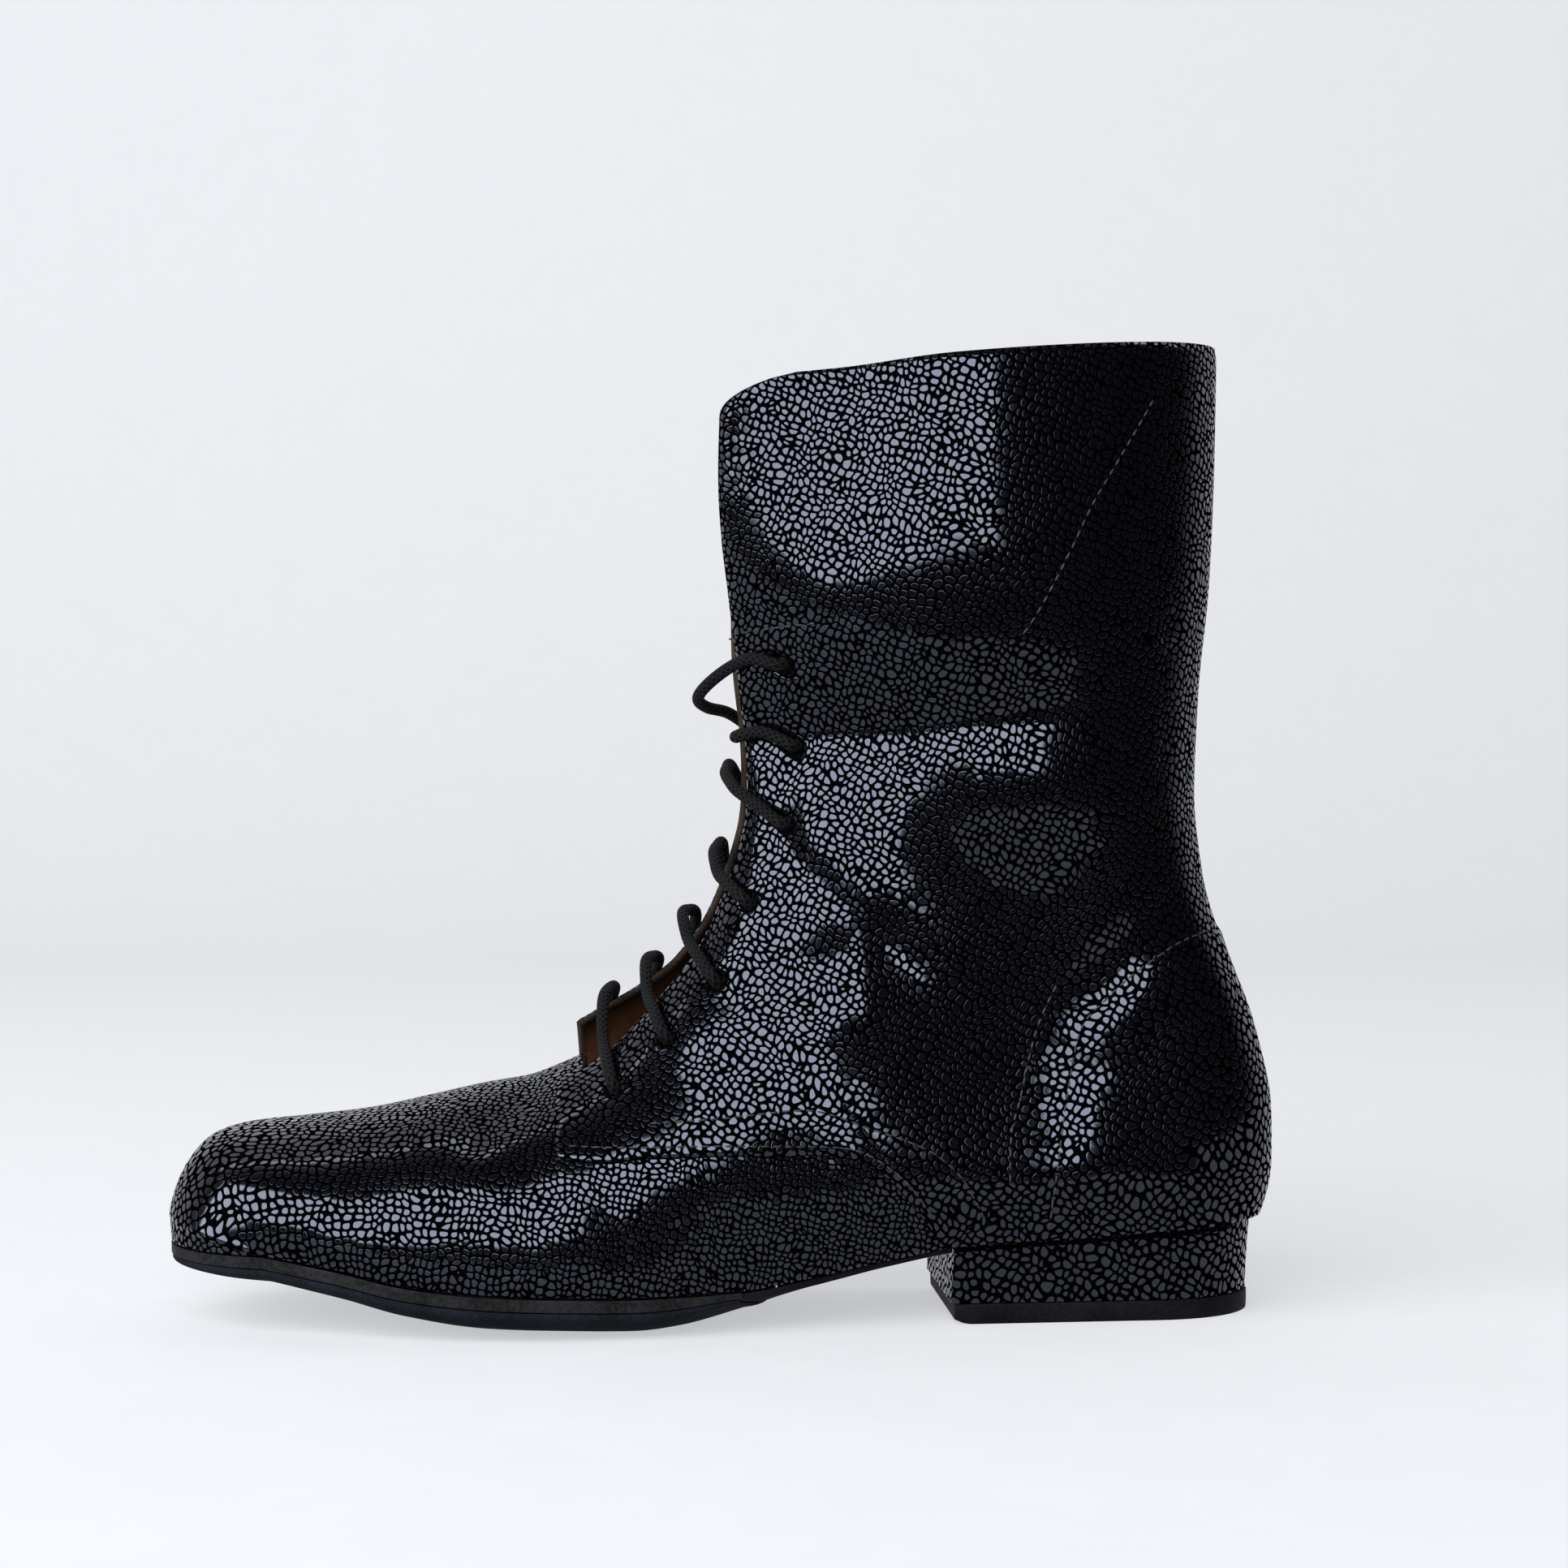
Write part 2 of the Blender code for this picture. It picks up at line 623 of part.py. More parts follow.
def make_midsole(finish):
    def place(x, share, depth):
        y = across(x, share, -0.2 + 0.4 * depth)
        z = feather(x) - SEAT_GAP - sag(x, y) - MIDSOLE_THICK * pad_taper(x) * depth
        return Vector((pad_x(x, share), y, z))

    return plate("forefoot_midsole", finish, (TOE_X + 0.5, PAD_REAR_X), 18, 6, place, "front")


def make_outsole(finish):
    def place(x, share, depth):
        inset = 0.3 + 2.6 * max(depth - 0.5, 0.0) * 2
        y = across(x, share, inset)
        top = feather(x) - 2 * SEAT_GAP - sag(x, y) - MIDSOLE_THICK * pad_taper(x)
        z = max(top - OUTSOLE_THICK * pad_taper(x) * depth, 0.0)
        middle = (TOE_X + PAD_REAR_X) / 2
        shrink = 1 - inset / (PAD_REAR_X - middle)
        return Vector((middle + (pad_x(x, share) - middle) * shrink, y, z))

    return plate("forefoot_outsole", finish, (TOE_X + 0.7, PAD_REAR_X - 0.4), 18, 6, place, "front", mid_cuts=1)


def make_waist_cover(finish):
    def place(x, share, depth):
        reach = (x - PAD_REAR_X) / (BREAST_X - PAD_REAR_X)
        bow = (PAD_REAR_BOW * (1 - share * share) + 2 * SEAT_GAP) * (1 - reach) ** 2
        y = across(x, share, 0.6 + 0.6 * depth)
        z = feather(x) - SEAT_GAP - sag(x, y) - WAIST_THICK * depth
        return Vector((x + bow, y, z))

    return plate("waist_cover", finish, (PAD_REAR_X, BREAST_X - 2 * SEAT_GAP), 9, 6, place, "none")


def make_heel_block(finish):
    def place(x, share, depth):
        top = feather(x) - HEEL_SEAT_DROP
        z = top + (TOP_PIECE_THICK + SEAT_GAP - top) * depth
        waist = 0.7 * math.sin(math.pi * depth)
        return Vector((x - 0.5 * depth, across(x, share, 0.4 + HEEL_TAPER * depth + waist), z))

    return plate("heel_block", finish, (BREAST_X, HEEL_X - 0.7), 12, 6, place, "back", mid_cuts=2)


def make_top_piece(finish):
    def place(x, share, depth):
        inset = HEEL_TAPER + 0.6 + (0.7 if depth > 0.9 else 0.0)
        return Vector((x, across(x, share, inset), TOP_PIECE_THICK * (1 - depth)))

    return plate("heel_top_piece", finish, (BREAST_X + 0.4, HEEL_X - 1.6), 12, 6, place, "back", mid_cuts=1)


def lace_hole(number, side, outward, towards_edge=0.0):
    """Point over or under an eyelet, or on the way to the flap's edge where towards_edge is 1."""
    _, x, z = EYELETS[number - 1]
    slide = LACE_SLIDE[side][number - 1] * towards_edge ** 2
    if slide:
        _, other_x, other_z = EYELETS[number - 1 + int(math.copysign(1, slide))]
        x += (other_x - x) * abs(slide)
        z += (other_z - z) * abs(slide)
    row, angle = eyelet_place(x, z, side)
    edge = gap_angle(Section(row), side)
    return quarter_point(row, angle + (edge - angle) * towards_edge, side, outward)


def outside_stretch(start, end, bulge, droop):
    """Lace over both flaps' edges, from one eyelet to another on the far side."""
    ride = LACE_DIAMETER / 2 + 0.5
    points = []
    for towards_edge, outward in LACE_CLIMB:
        points.append(lace_hole(*start, ride * outward, towards_edge=towards_edge))
    far = [lace_hole(*end, ride * outward, towards_edge=towards_edge) for towards_edge, outward in LACE_CLIMB]
    out = (points[-1] - points[0]).normalized() + (far[-1] - far[0]).normalized()
    out += surface_normal(*eyelet_place(*EYELETS[start[0] - 1][1:], start[1]), start[1], True)
    out += surface_normal(*eyelet_place(*EYELETS[end[0] - 1][1:], end[1]), end[1], True)
    out.normalize()
    move = out * bulge - Vector((0, 0, droop))
    middle = [points[-1].lerp(far[-1], share) + move * lift for share, lift in (LACE_DIP if bulge < 0 else LACE_ARCH)]
    return points + middle + far[::-1]


def inside_stretch(side, start, end, shift):
    """Lace under one flap from an eyelet to another; shift moves its middle clear of the eyelets between."""
    depth = -(QUARTER_WALL + LACE_DIAMETER / 2 + 0.7)
    first = EYELETS[start - 1]
    last = EYELETS[end - 1]
    points = [lace_hole(start, side, depth * 0.75)]
    for share in (0.18, 0.5, 0.82):
        x = first[1] + (last[1] - first[1]) * share
        z = first[2] + (last[2] - first[2]) * share
        row, angle = eyelet_place(x, z, side)
        points.append(quarter_point(row, angle + shift * math.sin(math.pi * share), side, depth - 0.4))
    points.append(lace_hole(end, side, depth * 0.75))
    return points


def make_lace(finish):
    """One lace through all eyelets, its ends inside the top pair."""
    points = []
    for step, (start, end, bulge, droop) in enumerate(LACE_BARS):
        if step:
            side, before = LACE_BARS[step - 1][1][1], LACE_BARS[step - 1][1][0]
            points += inside_stretch(side, before, start[0], LACE_SHIFT[step - 1])
        points += outside_stretch(start, end, bulge, droop)
    first, last = LACE_BARS[0][0], LACE_BARS[-1][1]
    points.insert(0, lace_hole(*first, -(QUARTER_WALL + 2.4)))
    points.append(lace_hole(*last, -(QUARTER_WALL + 2.4)))
    curve = bpy.data.curves.new("lace", "CURVE")
    curve.dimensions = "3D"
    curve.bevel_depth = LACE_DIAMETER / 2 * MM
    curve.bevel_resolution = 2
    curve.use_fill_caps = True
    spline = curve.splines.new("POLY")
    spline.points.add(len(points) - 1)
    for knot, point in zip(spline.points, points):
        knot.co = (*(point * MM), 1)
    curve.materials.append(finish)
    lace = bpy.data.objects.new("lace", curve)
    bpy.context.collection.objects.link(lace)
    return lace


def centre_on_floor(pieces):
    """Hang all pieces from an empty that puts the box's bottom centre at the origin."""
    bpy.context.view_layer.update()
    corners = [piece.matrix_world @ Vector(corner) for piece in pieces for corner in piece.bound_box]
    low = [min(corner[axis] for corner in corners) for axis in range(3)]
    high = [max(corner[axis] for corner in corners) for axis in range(3)]
    centre = bpy.data.objects.new("boot", None)
    bpy.context.collection.objects.link(centre)
    centre.location = (-(low[0] + high[0]) / 2, -(low[1] + high[1]) / 2, -low[2])
    for piece in pieces:
        piece.parent = centre


def clear_scene():
    for piece in list(bpy.data.objects):
        bpy.data.objects.remove(piece)


def main():
    clear_scene()
    pieces = [
        make_upper(material("black_leather", (0.012, 0.012, 0.014), 0.35)),
        make_insole(material("insole_board", (0.10, 0.065, 0.04), 0.8)),
        make_midsole(material("midsole_rubber", (0.03, 0.03, 0.033), 0.7)),
        make_outsole(material("outsole_suede", (0.018, 0.02, 0.028), 0.95)),
        make_waist_cover(material("waist_suede", (0.014, 0.014, 0.016), 0.95)),
        make_heel_block(material("heel_leather", (0.012, 0.012, 0.014), 0.4)),
        make_top_piece(material("heel_rubber", (0.02, 0.02, 0.022), 0.6)),
        make_lace(material("lace_braid", (0.012, 0.012, 0.013), 0.8)),
    ]
    centre_on_floor(pieces)


main()
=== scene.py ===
# %% [markdown]
# # A lace-up dance boot, dressed for the camera
#
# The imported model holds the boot's solids: upper, insole, split sole, heel and lace. This lesson builds
# the visible pieces around them. Each step says what the piece is on the real boot, how it could be
# made, and why it is made this way here. All sizes are in millimetres until a piece is finished, and
# then it is scaled to metres.

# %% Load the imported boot
import functools
import math

import bmesh
import bpy
import numpy as np
from mathutils import Matrix, Vector
from mathutils.bvhtree import BVHTree
from mathutils.kdtree import KDTree


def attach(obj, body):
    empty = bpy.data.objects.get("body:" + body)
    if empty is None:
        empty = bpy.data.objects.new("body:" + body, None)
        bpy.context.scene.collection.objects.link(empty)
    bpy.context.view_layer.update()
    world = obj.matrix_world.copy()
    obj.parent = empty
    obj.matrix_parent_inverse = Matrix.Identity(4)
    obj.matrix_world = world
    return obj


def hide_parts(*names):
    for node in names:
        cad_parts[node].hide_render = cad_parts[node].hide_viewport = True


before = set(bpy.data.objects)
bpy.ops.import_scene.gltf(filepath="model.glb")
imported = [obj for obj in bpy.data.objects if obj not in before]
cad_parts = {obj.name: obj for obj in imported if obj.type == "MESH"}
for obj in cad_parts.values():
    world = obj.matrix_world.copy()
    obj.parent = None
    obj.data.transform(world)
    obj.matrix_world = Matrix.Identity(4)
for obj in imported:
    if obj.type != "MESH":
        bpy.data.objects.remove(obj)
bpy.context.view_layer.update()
MM = 0.001
TO_FRAME = Matrix.Translation((0.205 * MM, -0.13 * MM, 0.0)) @ Matrix.Scale(MM, 4)
LATERAL, MEDIAL = -1, 1
print("solids:", sorted(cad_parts))

# %% [markdown]
# ## The last
#
# A boot is pulled over a last, so every piece follows one body. It is described by fan-shaped sections:
# each lies in a plane from a base point (feather line, then the back of the heel and shaft) to a ridge
# point (toe, instep, then the front of the shaft). The body could be sculpted, but a table can be
# measured and corrected one row at a time. The solids come from nearly the same table with softer
# folds, so the dressed boot lies close to them.

# %% Sizes of the last
TOE_X, HEEL_X, BREAST_X = -143.4, 138.4, 56.6
TOE_CAP_LENGTH, TOE_POWER, TOE_TAPER = 26.4, 2.6, 5.5
HEEL_CAP_LENGTH, HEEL_POWER = 33.4, 2.35
VAMP_WALL, QUARTER_WALL, QUARTER_STEP, COUNTER_STEP = 1.6, 2.2, 1.2, 0.7
SEAT_GAP = 0.3

# Outline at the sole: x, outer and inner half width.
OUTLINE = (
    (-117, 36.6, 38.8), (-98, 42.8, 44.0), (-75, 47.8, 47.4), (-55, 49.6, 46.6), (-35, 48.2, 42.8),
    (-12, 44.2, 36.2), (12, 39.4, 30.6), (36, 35.4, 28.4), (60, 32.6, 29.2), (84, 31.4, 30.6),
    (105, 30.4, 30.4),
)
# Feather line: x, z.
FEATHER = (
    (-143.4, 21.0), (-117, 20.6), (-98, 17.6), (-83, 14.4), (-66, 12.4), (-45, 11.3), (-20, 10.6),
    (0, 11.2), (20, 14.0), (40, 18.0), (58, 20.9), (80, 22.3), (110, 24.1), (145, 25.9),
)
# Sag of the soft sole between its edges: x, depth.
SAG = (
    (-145, 0.0), (-112, 1.6), (-80, 3.8), (-60, 5.0), (-12, 5.0), (10, 2.6), (40, 0.8), (58, 0.0),
    (145, 0.0),
)
print("last length:", round(HEEL_X - TOE_X, 1), "mm")

# %% Sections of the last
# Ridge x and z, base x and z (0 = on the feather line), widest half width outside and inside
# (0 = as the outline), power of the ridge side and of the base side, width lost to the ridge,
# ridge shift inward.
SECTIONS = (
    (-143.4, 21.0, -117, 0, 0, 0, 2.60, 2.4, 5.5, 0.5),
    (-143.9, 27.5, -114.5, 0, 38.0, 39.8, 2.55, 2.4, 5.5, 0.5),
    (-142.4, 34.4, -111.5, 0, 39.0, 40.8, 2.50, 2.4, 5.5, 0.8),
    (-138.9, 41.4, -108, 0, 40.2, 42.0, 2.45, 2.4, 5.5, 1.2),
    (-133.6, 46.6, -104, 0, 41.6, 43.2, 2.40, 2.4, 5.0, 1.6),
    (-124.0, 49.3, -99.5, 0, 43.2, 44.6, 2.35, 2.4, 4.0, 2.2),
    (-110.0, 50.4, -94, 0, 45.0, 46.0, 2.30, 2.4, 3.0, 3.0),
    (-94.0, 51.6, -86.5, 0, 46.8, 47.2, 2.25, 2.4, 2.0, 4.0),
    (-77.0, 54.8, -75, 0, 49.0, 48.6, 2.15, 2.4, 1.0, 5.0),
    (-60.0, 59.2, -60, 0, 50.6, 48.2, 2.05, 2.4, 0.0, 6.0),
    (-44.0, 63.4, -44, 0, 50.2, 45.6, 1.95, 2.4, 0.0, 6.5),
    (-32.0, 69.8, -24, 0, 47.6, 41.0, 2.10, 2.4, 0.0, 6.5),
    (-21.5, 80.0, -2, 0, 44.0, 38.0, 2.25, 2.4, 0.0, 6.0),
    (-12.0, 90.8, 20, 0, 41.0, 36.0, 2.30, 2.4, 0.0, 5.0),
    (-5.5, 101.0, 42, 0, 38.6, 35.2, 2.30, 2.5, 0.0, 3.5),
    (-1.5, 111.0, 62, 0, 37.4, 35.2, 2.25, 2.6, 0.0, 2.0),
    (1.2, 121.0, 84, 0, 36.8, 35.6, 2.15, 2.7, 0.0, 1.0),
    (2.8, 130.5, 108, 0, 36.6, 36.0, 2.05, 2.8, 0.0, 0.5),
    (3.4, 139.0, 127, 0, 36.5, 36.3, 2.00, 2.8, 0.0, 0.0),
    (3.6, 146.0, 138.4, 0, 36.5, 36.5, 1.90, 2.8, 0.0, 0.0),
    (3.6, 152.5, 141.2, 38.0, 36.5, 36.5, 1.78, 2.8, 0.0, 0.0),
    (3.2, 159.5, 141.6, 53.0, 36.6, 36.6, 1.68, 2.7, 0.0, 0.0),
    (2.6, 168.0, 138.0, 73.0, 37.2, 37.2, 1.58, 2.6, 0.0, 0.0),
    (1.6, 178.0, 130.8, 94.0, 38.2, 38.2, 1.50, 2.5, 0.0, 0.0),
    (0.2, 189.5, 125.0, 115.0, 39.6, 39.6, 1.50, 2.4, 0.0, 0.0),
    (-2.0, 201.0, 122.6, 137.0, 41.2, 41.2, 1.50, 2.3, 0.0, 0.0),
    (-3.7, 212.5, 123.6, 162.0, 42.6, 42.6, 1.50, 2.3, 0.0, 0.0),
    (-4.4, 224.0, 126.4, 190.0, 43.5, 43.5, 1.50, 2.3, 0.0, 0.0),
    (-4.6, 233.0, 127.8, 221.0, 44.0, 44.0, 1.50, 2.3, 0.0, 0.0),
    (-4.2, 240.5, 128.4, 252.0, 44.2, 44.2, 1.50, 2.3, 0.0, 0.0),
)
SECTION_COLUMNS = (
    "ridge_x", "ridge_z", "base_x", "base_z", "half_lat", "half_med", "top", "low", "lost", "shift",
)
SECTION_ROWS = tuple((row,) + values for row, values in enumerate(SECTIONS))
FLAP_ROW, HEEL_ROW, COLLAR_ROW = 10, 19, len(SECTIONS) - 1
FLANGE_ROWS, MEDIAL_FLAP_LAG = 0.55, 0.42
print("sections:", len(SECTIONS))

# %% Lacing gap, edges and eyelets
# Lacing gap: row, outer and inner half width, outer and inner lift of the flaps.
LACING_GAP = (
    (10, 19.0, 9.0, 0.0, 9.0), (11, 17.5, 8.5, 0.0, 8.0), (12, 15.5, 8.5, 0.0, 4.0),
    (13, 13.5, 8.5, 0.0, 1.2), (15, 11.0, 8.5, 0.0, 0.0), (20, 9.0, 9.0, 0.0, 0.0),
    (22, 10.0, 10.0, 0.0, 0.0), (24, 13.0, 15.0, 0.0, 0.0), (26, 17.0, 21.0, 0.0, 0.0),
    (29, 23.2, 28.5, 0.0, 0.0),
)
# The flaps' rounded top corners: row where the rounding starts, how much wider the gap gets at the
# collar, and the rounding's power.
CORNER_ROW, CORNER_WIDTH, CORNER_POWER = 27.8, 10.0, 0.65
# Lower edge of the quarter and front edge of the counter, both seen from the side.
QUARTER_EDGE = (
    (-43.9, 42.8), (-24, 43.4), (-6, 44.4), (14, 44.4), (28, 44.0), (36, 40.6), (43, 34.8), (48, 28.0),
)
QUARTER_END_X = 54.5
COUNTER_EDGE = (
    (20, 79), (44, 82.5), (59, 85.4), (74, 89.5), (82.5, 96), (89, 103), (96.5, 115), (99.8, 128),
    (101, 150),
)
COUNTER_SLOPE = 5.0
# Eyelets: number from the throat, x, z.
EYELETS = (
    (1, -28.5, 59.5), (2, -15.6, 72.4), (3, -3.2, 87.2), (4, 5.4, 107.3), (5, 14.0, 127.4),
    (6, 15.4, 147.6), (7, 13.6, 168.2),
)
EYELET_DIAMETER, LACE_DIAMETER = 4.6, 3.2
print("eyelets a side:", len(EYELETS))


# %% Reading the tables
def smooth(table, column, at):
    """Monotone cubic through one column of a table, against its first column."""
    xs = [row[0] for row in table]
    ys = [row[column] for row in table]
    slopes = [(ys[i + 1] - ys[i]) / (xs[i + 1] - xs[i]) for i in range(len(xs) - 1)]
    tangents = [slopes[0]] + [0.0] * (len(xs) - 2) + [slopes[-1]]
    for i in range(1, len(xs) - 1):
        if slopes[i - 1] * slopes[i] > 0:
            tangents[i] = 2 * slopes[i - 1] * slopes[i] / (slopes[i - 1] + slopes[i])
    at = min(max(at, xs[0]), xs[-1])
    i = min(max(sum(1 for x in xs if x <= at) - 1, 0), len(xs) - 2)
    step = xs[i + 1] - xs[i]
    s = (at - xs[i]) / step
    cubic = tangents[i] * step * (s - 2 * s * s + s ** 3) + tangents[i + 1] * step * (s ** 3 - s * s)
    return ys[i] + (ys[i + 1] - ys[i]) * (3 * s * s - 2 * s ** 3) + cubic


def feather(x):
    """Height of the feather line, straight under the toe cap."""
    (toe_x, toe_z), (cap_x, cap_z) = FEATHER[:2]
    if x < cap_x:
        return cap_z + (toe_z - cap_z) * (cap_x - x) / (cap_x - toe_x)
    return smooth(FEATHER[1:], 1, x)


def outline(x, side):
    """Half width of the upper's outline at the feather line."""
    column = 1 if side == LATERAL else 2
    first, last = OUTLINE[0], OUTLINE[-1]
    if x < first[0]:
        reach = min((first[0] - x) / TOE_CAP_LENGTH, 1.0)
        return (first[column] - TOE_TAPER * reach) * (1 - reach ** TOE_POWER) ** (1 / TOE_POWER)
    if x > last[0]:
        reach = min((x - last[0]) / HEEL_CAP_LENGTH, 1.0)
        return last[column] * (1 - reach ** HEEL_POWER) ** (1 / HEEL_POWER)
    return smooth(OUTLINE, column, x)


print("feather line at the heel:", round(feather(HEEL_X), 1), "mm")


# %% Rounded corner of a flap
def corner_gap(row):
    """Extra half gap along the rounded top corner of a flap."""
    reach = min(max((row - CORNER_ROW) / (COLLAR_ROW - CORNER_ROW), 0.0), 1.0)
    return CORNER_WIDTH * (1 - (1 - reach ** 2) ** CORNER_POWER)


collar_gap = smooth(LACING_GAP, 1, COLLAR_ROW) + corner_gap(COLLAR_ROW)
print("outer half gap at the collar:", round(collar_gap, 1), "mm")


# %% One section of the last
class Section:
    """One fan section at a row number, which may lie between two rows of the table."""

    def __init__(self, row):
        self.row = row
        for column, name in enumerate(SECTION_COLUMNS, start=1):
            setattr(self, name, smooth(SECTION_ROWS, column, row))
        if row <= HEEL_ROW:
            self.base_z = feather(self.base_x)
        elif row < HEEL_ROW + 1:
            share = row - HEEL_ROW
            self.base_z = (1 - share) * feather(HEEL_X) + share * SECTIONS[HEEL_ROW + 1][3]
        if row > HEEL_ROW - 3:
            self.open_front()
        self.up = Vector((self.ridge_x - self.base_x, 0, self.ridge_z - self.base_z)).normalized()
        self.widest, self.base_angle, self.lowest, self.gap, self.lift = {}, {}, {}, {}, {}
        for side in (LATERAL, MEDIAL):
            base = outline(self.base_x, side) if row < HEEL_ROW else 0.0
            self.widest[side] = max(base, self.half_lat if side == LATERAL else self.half_med)
            share = min(base / self.widest[side], 1.0) ** (self.low / 2)
            self.base_angle[side] = math.pi - math.asin(share)
            self.lowest[side] = -abs(math.cos(self.base_angle[side])) ** (2 / self.low)
            column = 1 if side == LATERAL else 2
            gap = smooth(LACING_GAP, column, row) + corner_gap(row)
            self.gap[side] = math.asin(min(gap / self.widest[side], 1.0) ** (self.top / 2))
            self.lift[side] = smooth(LACING_GAP, column + 2, row)

    def open_front(self):
        """Above the heel row the table gives the flap's edge, and the ridge lies beyond it by the gap."""
        share = min(max((self.row - HEEL_ROW + 3) / 4, 0.0), 1.0)
        share = share * share * (3 - 2 * share)
        gap = smooth(LACING_GAP, 1, self.row)
        edge = (1 + (1 - (gap / self.half_lat) ** self.top) ** (1 / self.top)) / 2
        reach = 1 + share * (1 / edge - 1)
        self.ridge_x = self.base_x + (self.ridge_x - self.base_x) * reach
        self.ridge_z = self.base_z + (self.ridge_z - self.base_z) * reach

    def flap_lift(self, angle, side):
        """How far a free flap stands off the vamp."""
        reach = math.radians(72)
        share = min(max((reach - angle) / (reach - self.gap[side]), 0.0), 1.0)
        return self.lift[side] * share * share * (3 - 2 * share)

    def place(self, angle, side, lift=0.0):
        """Point of the section at an angle from the ridge."""
        power = self.top if angle <= math.pi / 2 else self.low
        cosine, sine = math.cos(angle), math.sin(angle)
        height = math.copysign(abs(cosine) ** (2 / power), cosine)
        rise = (height - self.lowest[side]) / (1 - self.lowest[side])
        width = self.widest[side] - self.lost * max(height, 0)
        y = side * width * abs(sine) ** (2 / power) + self.shift * rise
        x = self.base_x + rise * (self.ridge_x - self.base_x)
        z = self.base_z + rise * (self.ridge_z - self.base_z)
        return Vector((x, y, z)) + self.up * lift

    def angle_at_rise(self, rise, side):
        height = self.lowest[side] + rise * (1 - self.lowest[side])
        if height >= 0:
            return math.acos(min(height, 1.0) ** (self.top / 2))
        return math.pi - math.acos(min(-height, 1.0) ** (self.low / 2))

    def side_view(self, x, z):
        """Share of the way from base to ridge, and the distance ahead of the section's plane."""
        dx, dz = self.ridge_x - self.base_x, self.ridge_z - self.base_z
        px, pz = x - self.base_x, z - self.base_z
        length = dx * dx + dz * dz
        return (px * dx + pz * dz) / length, (px * dz - pz * dx) / math.sqrt(length)


section_at = functools.lru_cache(maxsize=None)(Section)
print("collar is", round(2 * section_at(COLLAR_ROW).widest[LATERAL], 1), "mm wide")


# %% Finding a spot from the side
def spot(x, z, side):
    """Row and section angle of a point given in the side view."""
    low, high = 0.0, float(COLLAR_ROW)
    for _ in range(30):
        middle = (low + high) / 2
        if Section(middle).side_view(x, z)[1] > 0:
            low = middle
        else:
            high = middle
    section = Section((low + high) / 2)
    return section.row, section.angle_at_rise(section.side_view(x, z)[0], side)


end_row = spot(QUARTER_END_X, feather(QUARTER_END_X), LATERAL)[0]
quarter_edges = {}
for side in (LATERAL, MEDIAL):
    quarter_edges[side] = [spot(x, z, side) for x, z in QUARTER_EDGE]
    quarter_edges[side].append((end_row, section_at(end_row).base_angle[side]))
print("quarter ends at row", round(end_row, 2))

# %% [markdown]
# ## Creases
#
# The shaft is soft and slack, so it drops in a deep fold above the ankle and creases at the instep.
# Cloth simulation could drop a tube of leather, but its folds land where they like. These folds belong
# to this one boot, so each is placed in side-view millimetres as a soft trough, or as a ridge
# where the depth is negative.

# %% Folds and the counter's step
# x, z, tilt in degrees, half length, half width, depth.
FOLDS = (
    (50, 152, 6, 42, 16, 4.0),      # deep fold above the ankle
    (46, 152, 5, 38, 4.5, 1.2),     # sharp line at its bottom
    (8, 190, 0, 34, 14, -1.2),      # bulges over it, front and back
    (64, 196, -12, 34, 28, -2.0),
    (28, 254, 88, 70, 21, 6.0),     # the open flap's flat front and its inward lean
    (2, 262, 0, 36, 46, 5.6),
    (79, 87, 92, 42, 31, 6.2),      # hollow at the ankle
    (28, 108, 97, 34, 9, -2.8),     # standing ridge along the facing, and the crease beside it
    (12, 132, 100, 26, 8, 1.6),
    (80, 38, 0, 60, 22, -2.0),      # swell over the seat
    (99, 93, 42, 22, 7, 1.4),       # creases over the counter
    (110, 64, 80, 44, 12, 1.0),
    (18, 90, 15, 24, 9, 1.8),       # crease at the instep
    (-44, 46, -3, 58, 15, -2.4),    # swell along the vamp's side
    (-58, 53, 38, 14, 6, 2.2),      # dent in front of the flap
)
# The inner side gets the same folds at half depth, with a soft change over the ridge.
INNER_SHARE, SIDE_BLEND = 0.5, 40.0


def fold_depth(x, y, z):
    """Inward push of all folds at points of the boot."""
    depth = np.zeros_like(x)
    for fold_x, fold_z, tilt, half_length, half_width, push in FOLDS:
        cosine, sine = math.cos(math.radians(tilt)), math.sin(math.radians(tilt))
        along = (x - fold_x) * cosine + (z - fold_z) * sine
        across = (z - fold_z) * cosine - (x - fold_x) * sine
        depth += push * np.exp(-(across / half_width) ** 2 - (along / half_length) ** 4)
    inner_side = np.clip(0.5 + y / SIDE_BLEND, 0.0, 1.0)
    return depth * (1 - (1 - INNER_SHARE) * inner_side)


def counter_raise(x, z):
    """Outward step of the counter under the quarter at the heel."""
    heights = np.linspace(0, 260, 400)
    edge = np.interp(z, heights, [smooth(COUNTER_EDGE, 1, height) for height in heights])
    share = np.clip((x - edge) / COUNTER_SLOPE, 0.0, 1.0)
    return COUNTER_STEP * share * share * (3 - 2 * share)


print("folds:", len(FOLDS))


# %% Tools for sheets
def grid(rows, columns):
    """Flat grid whose vertices carry row share 0..1 in x and side share -1..1 in y."""
    bm = bmesh.new()
    bmesh.ops.create_grid(bm, x_segments=rows, y_segments=columns, size=1.0)
    for vert in bm.verts:
        vert.co.x = (vert.co.x + 1) / 2
    return bm


def drop_faces(bm, test):
    doomed = [face for face in bm.faces if test(face.calc_center_median())]
    bmesh.ops.delete(bm, geom=doomed, context="FACES")
    loose = [vert for vert in bm.verts if not vert.link_faces]
    bmesh.ops.delete(bm, geom=loose, context="VERTS")


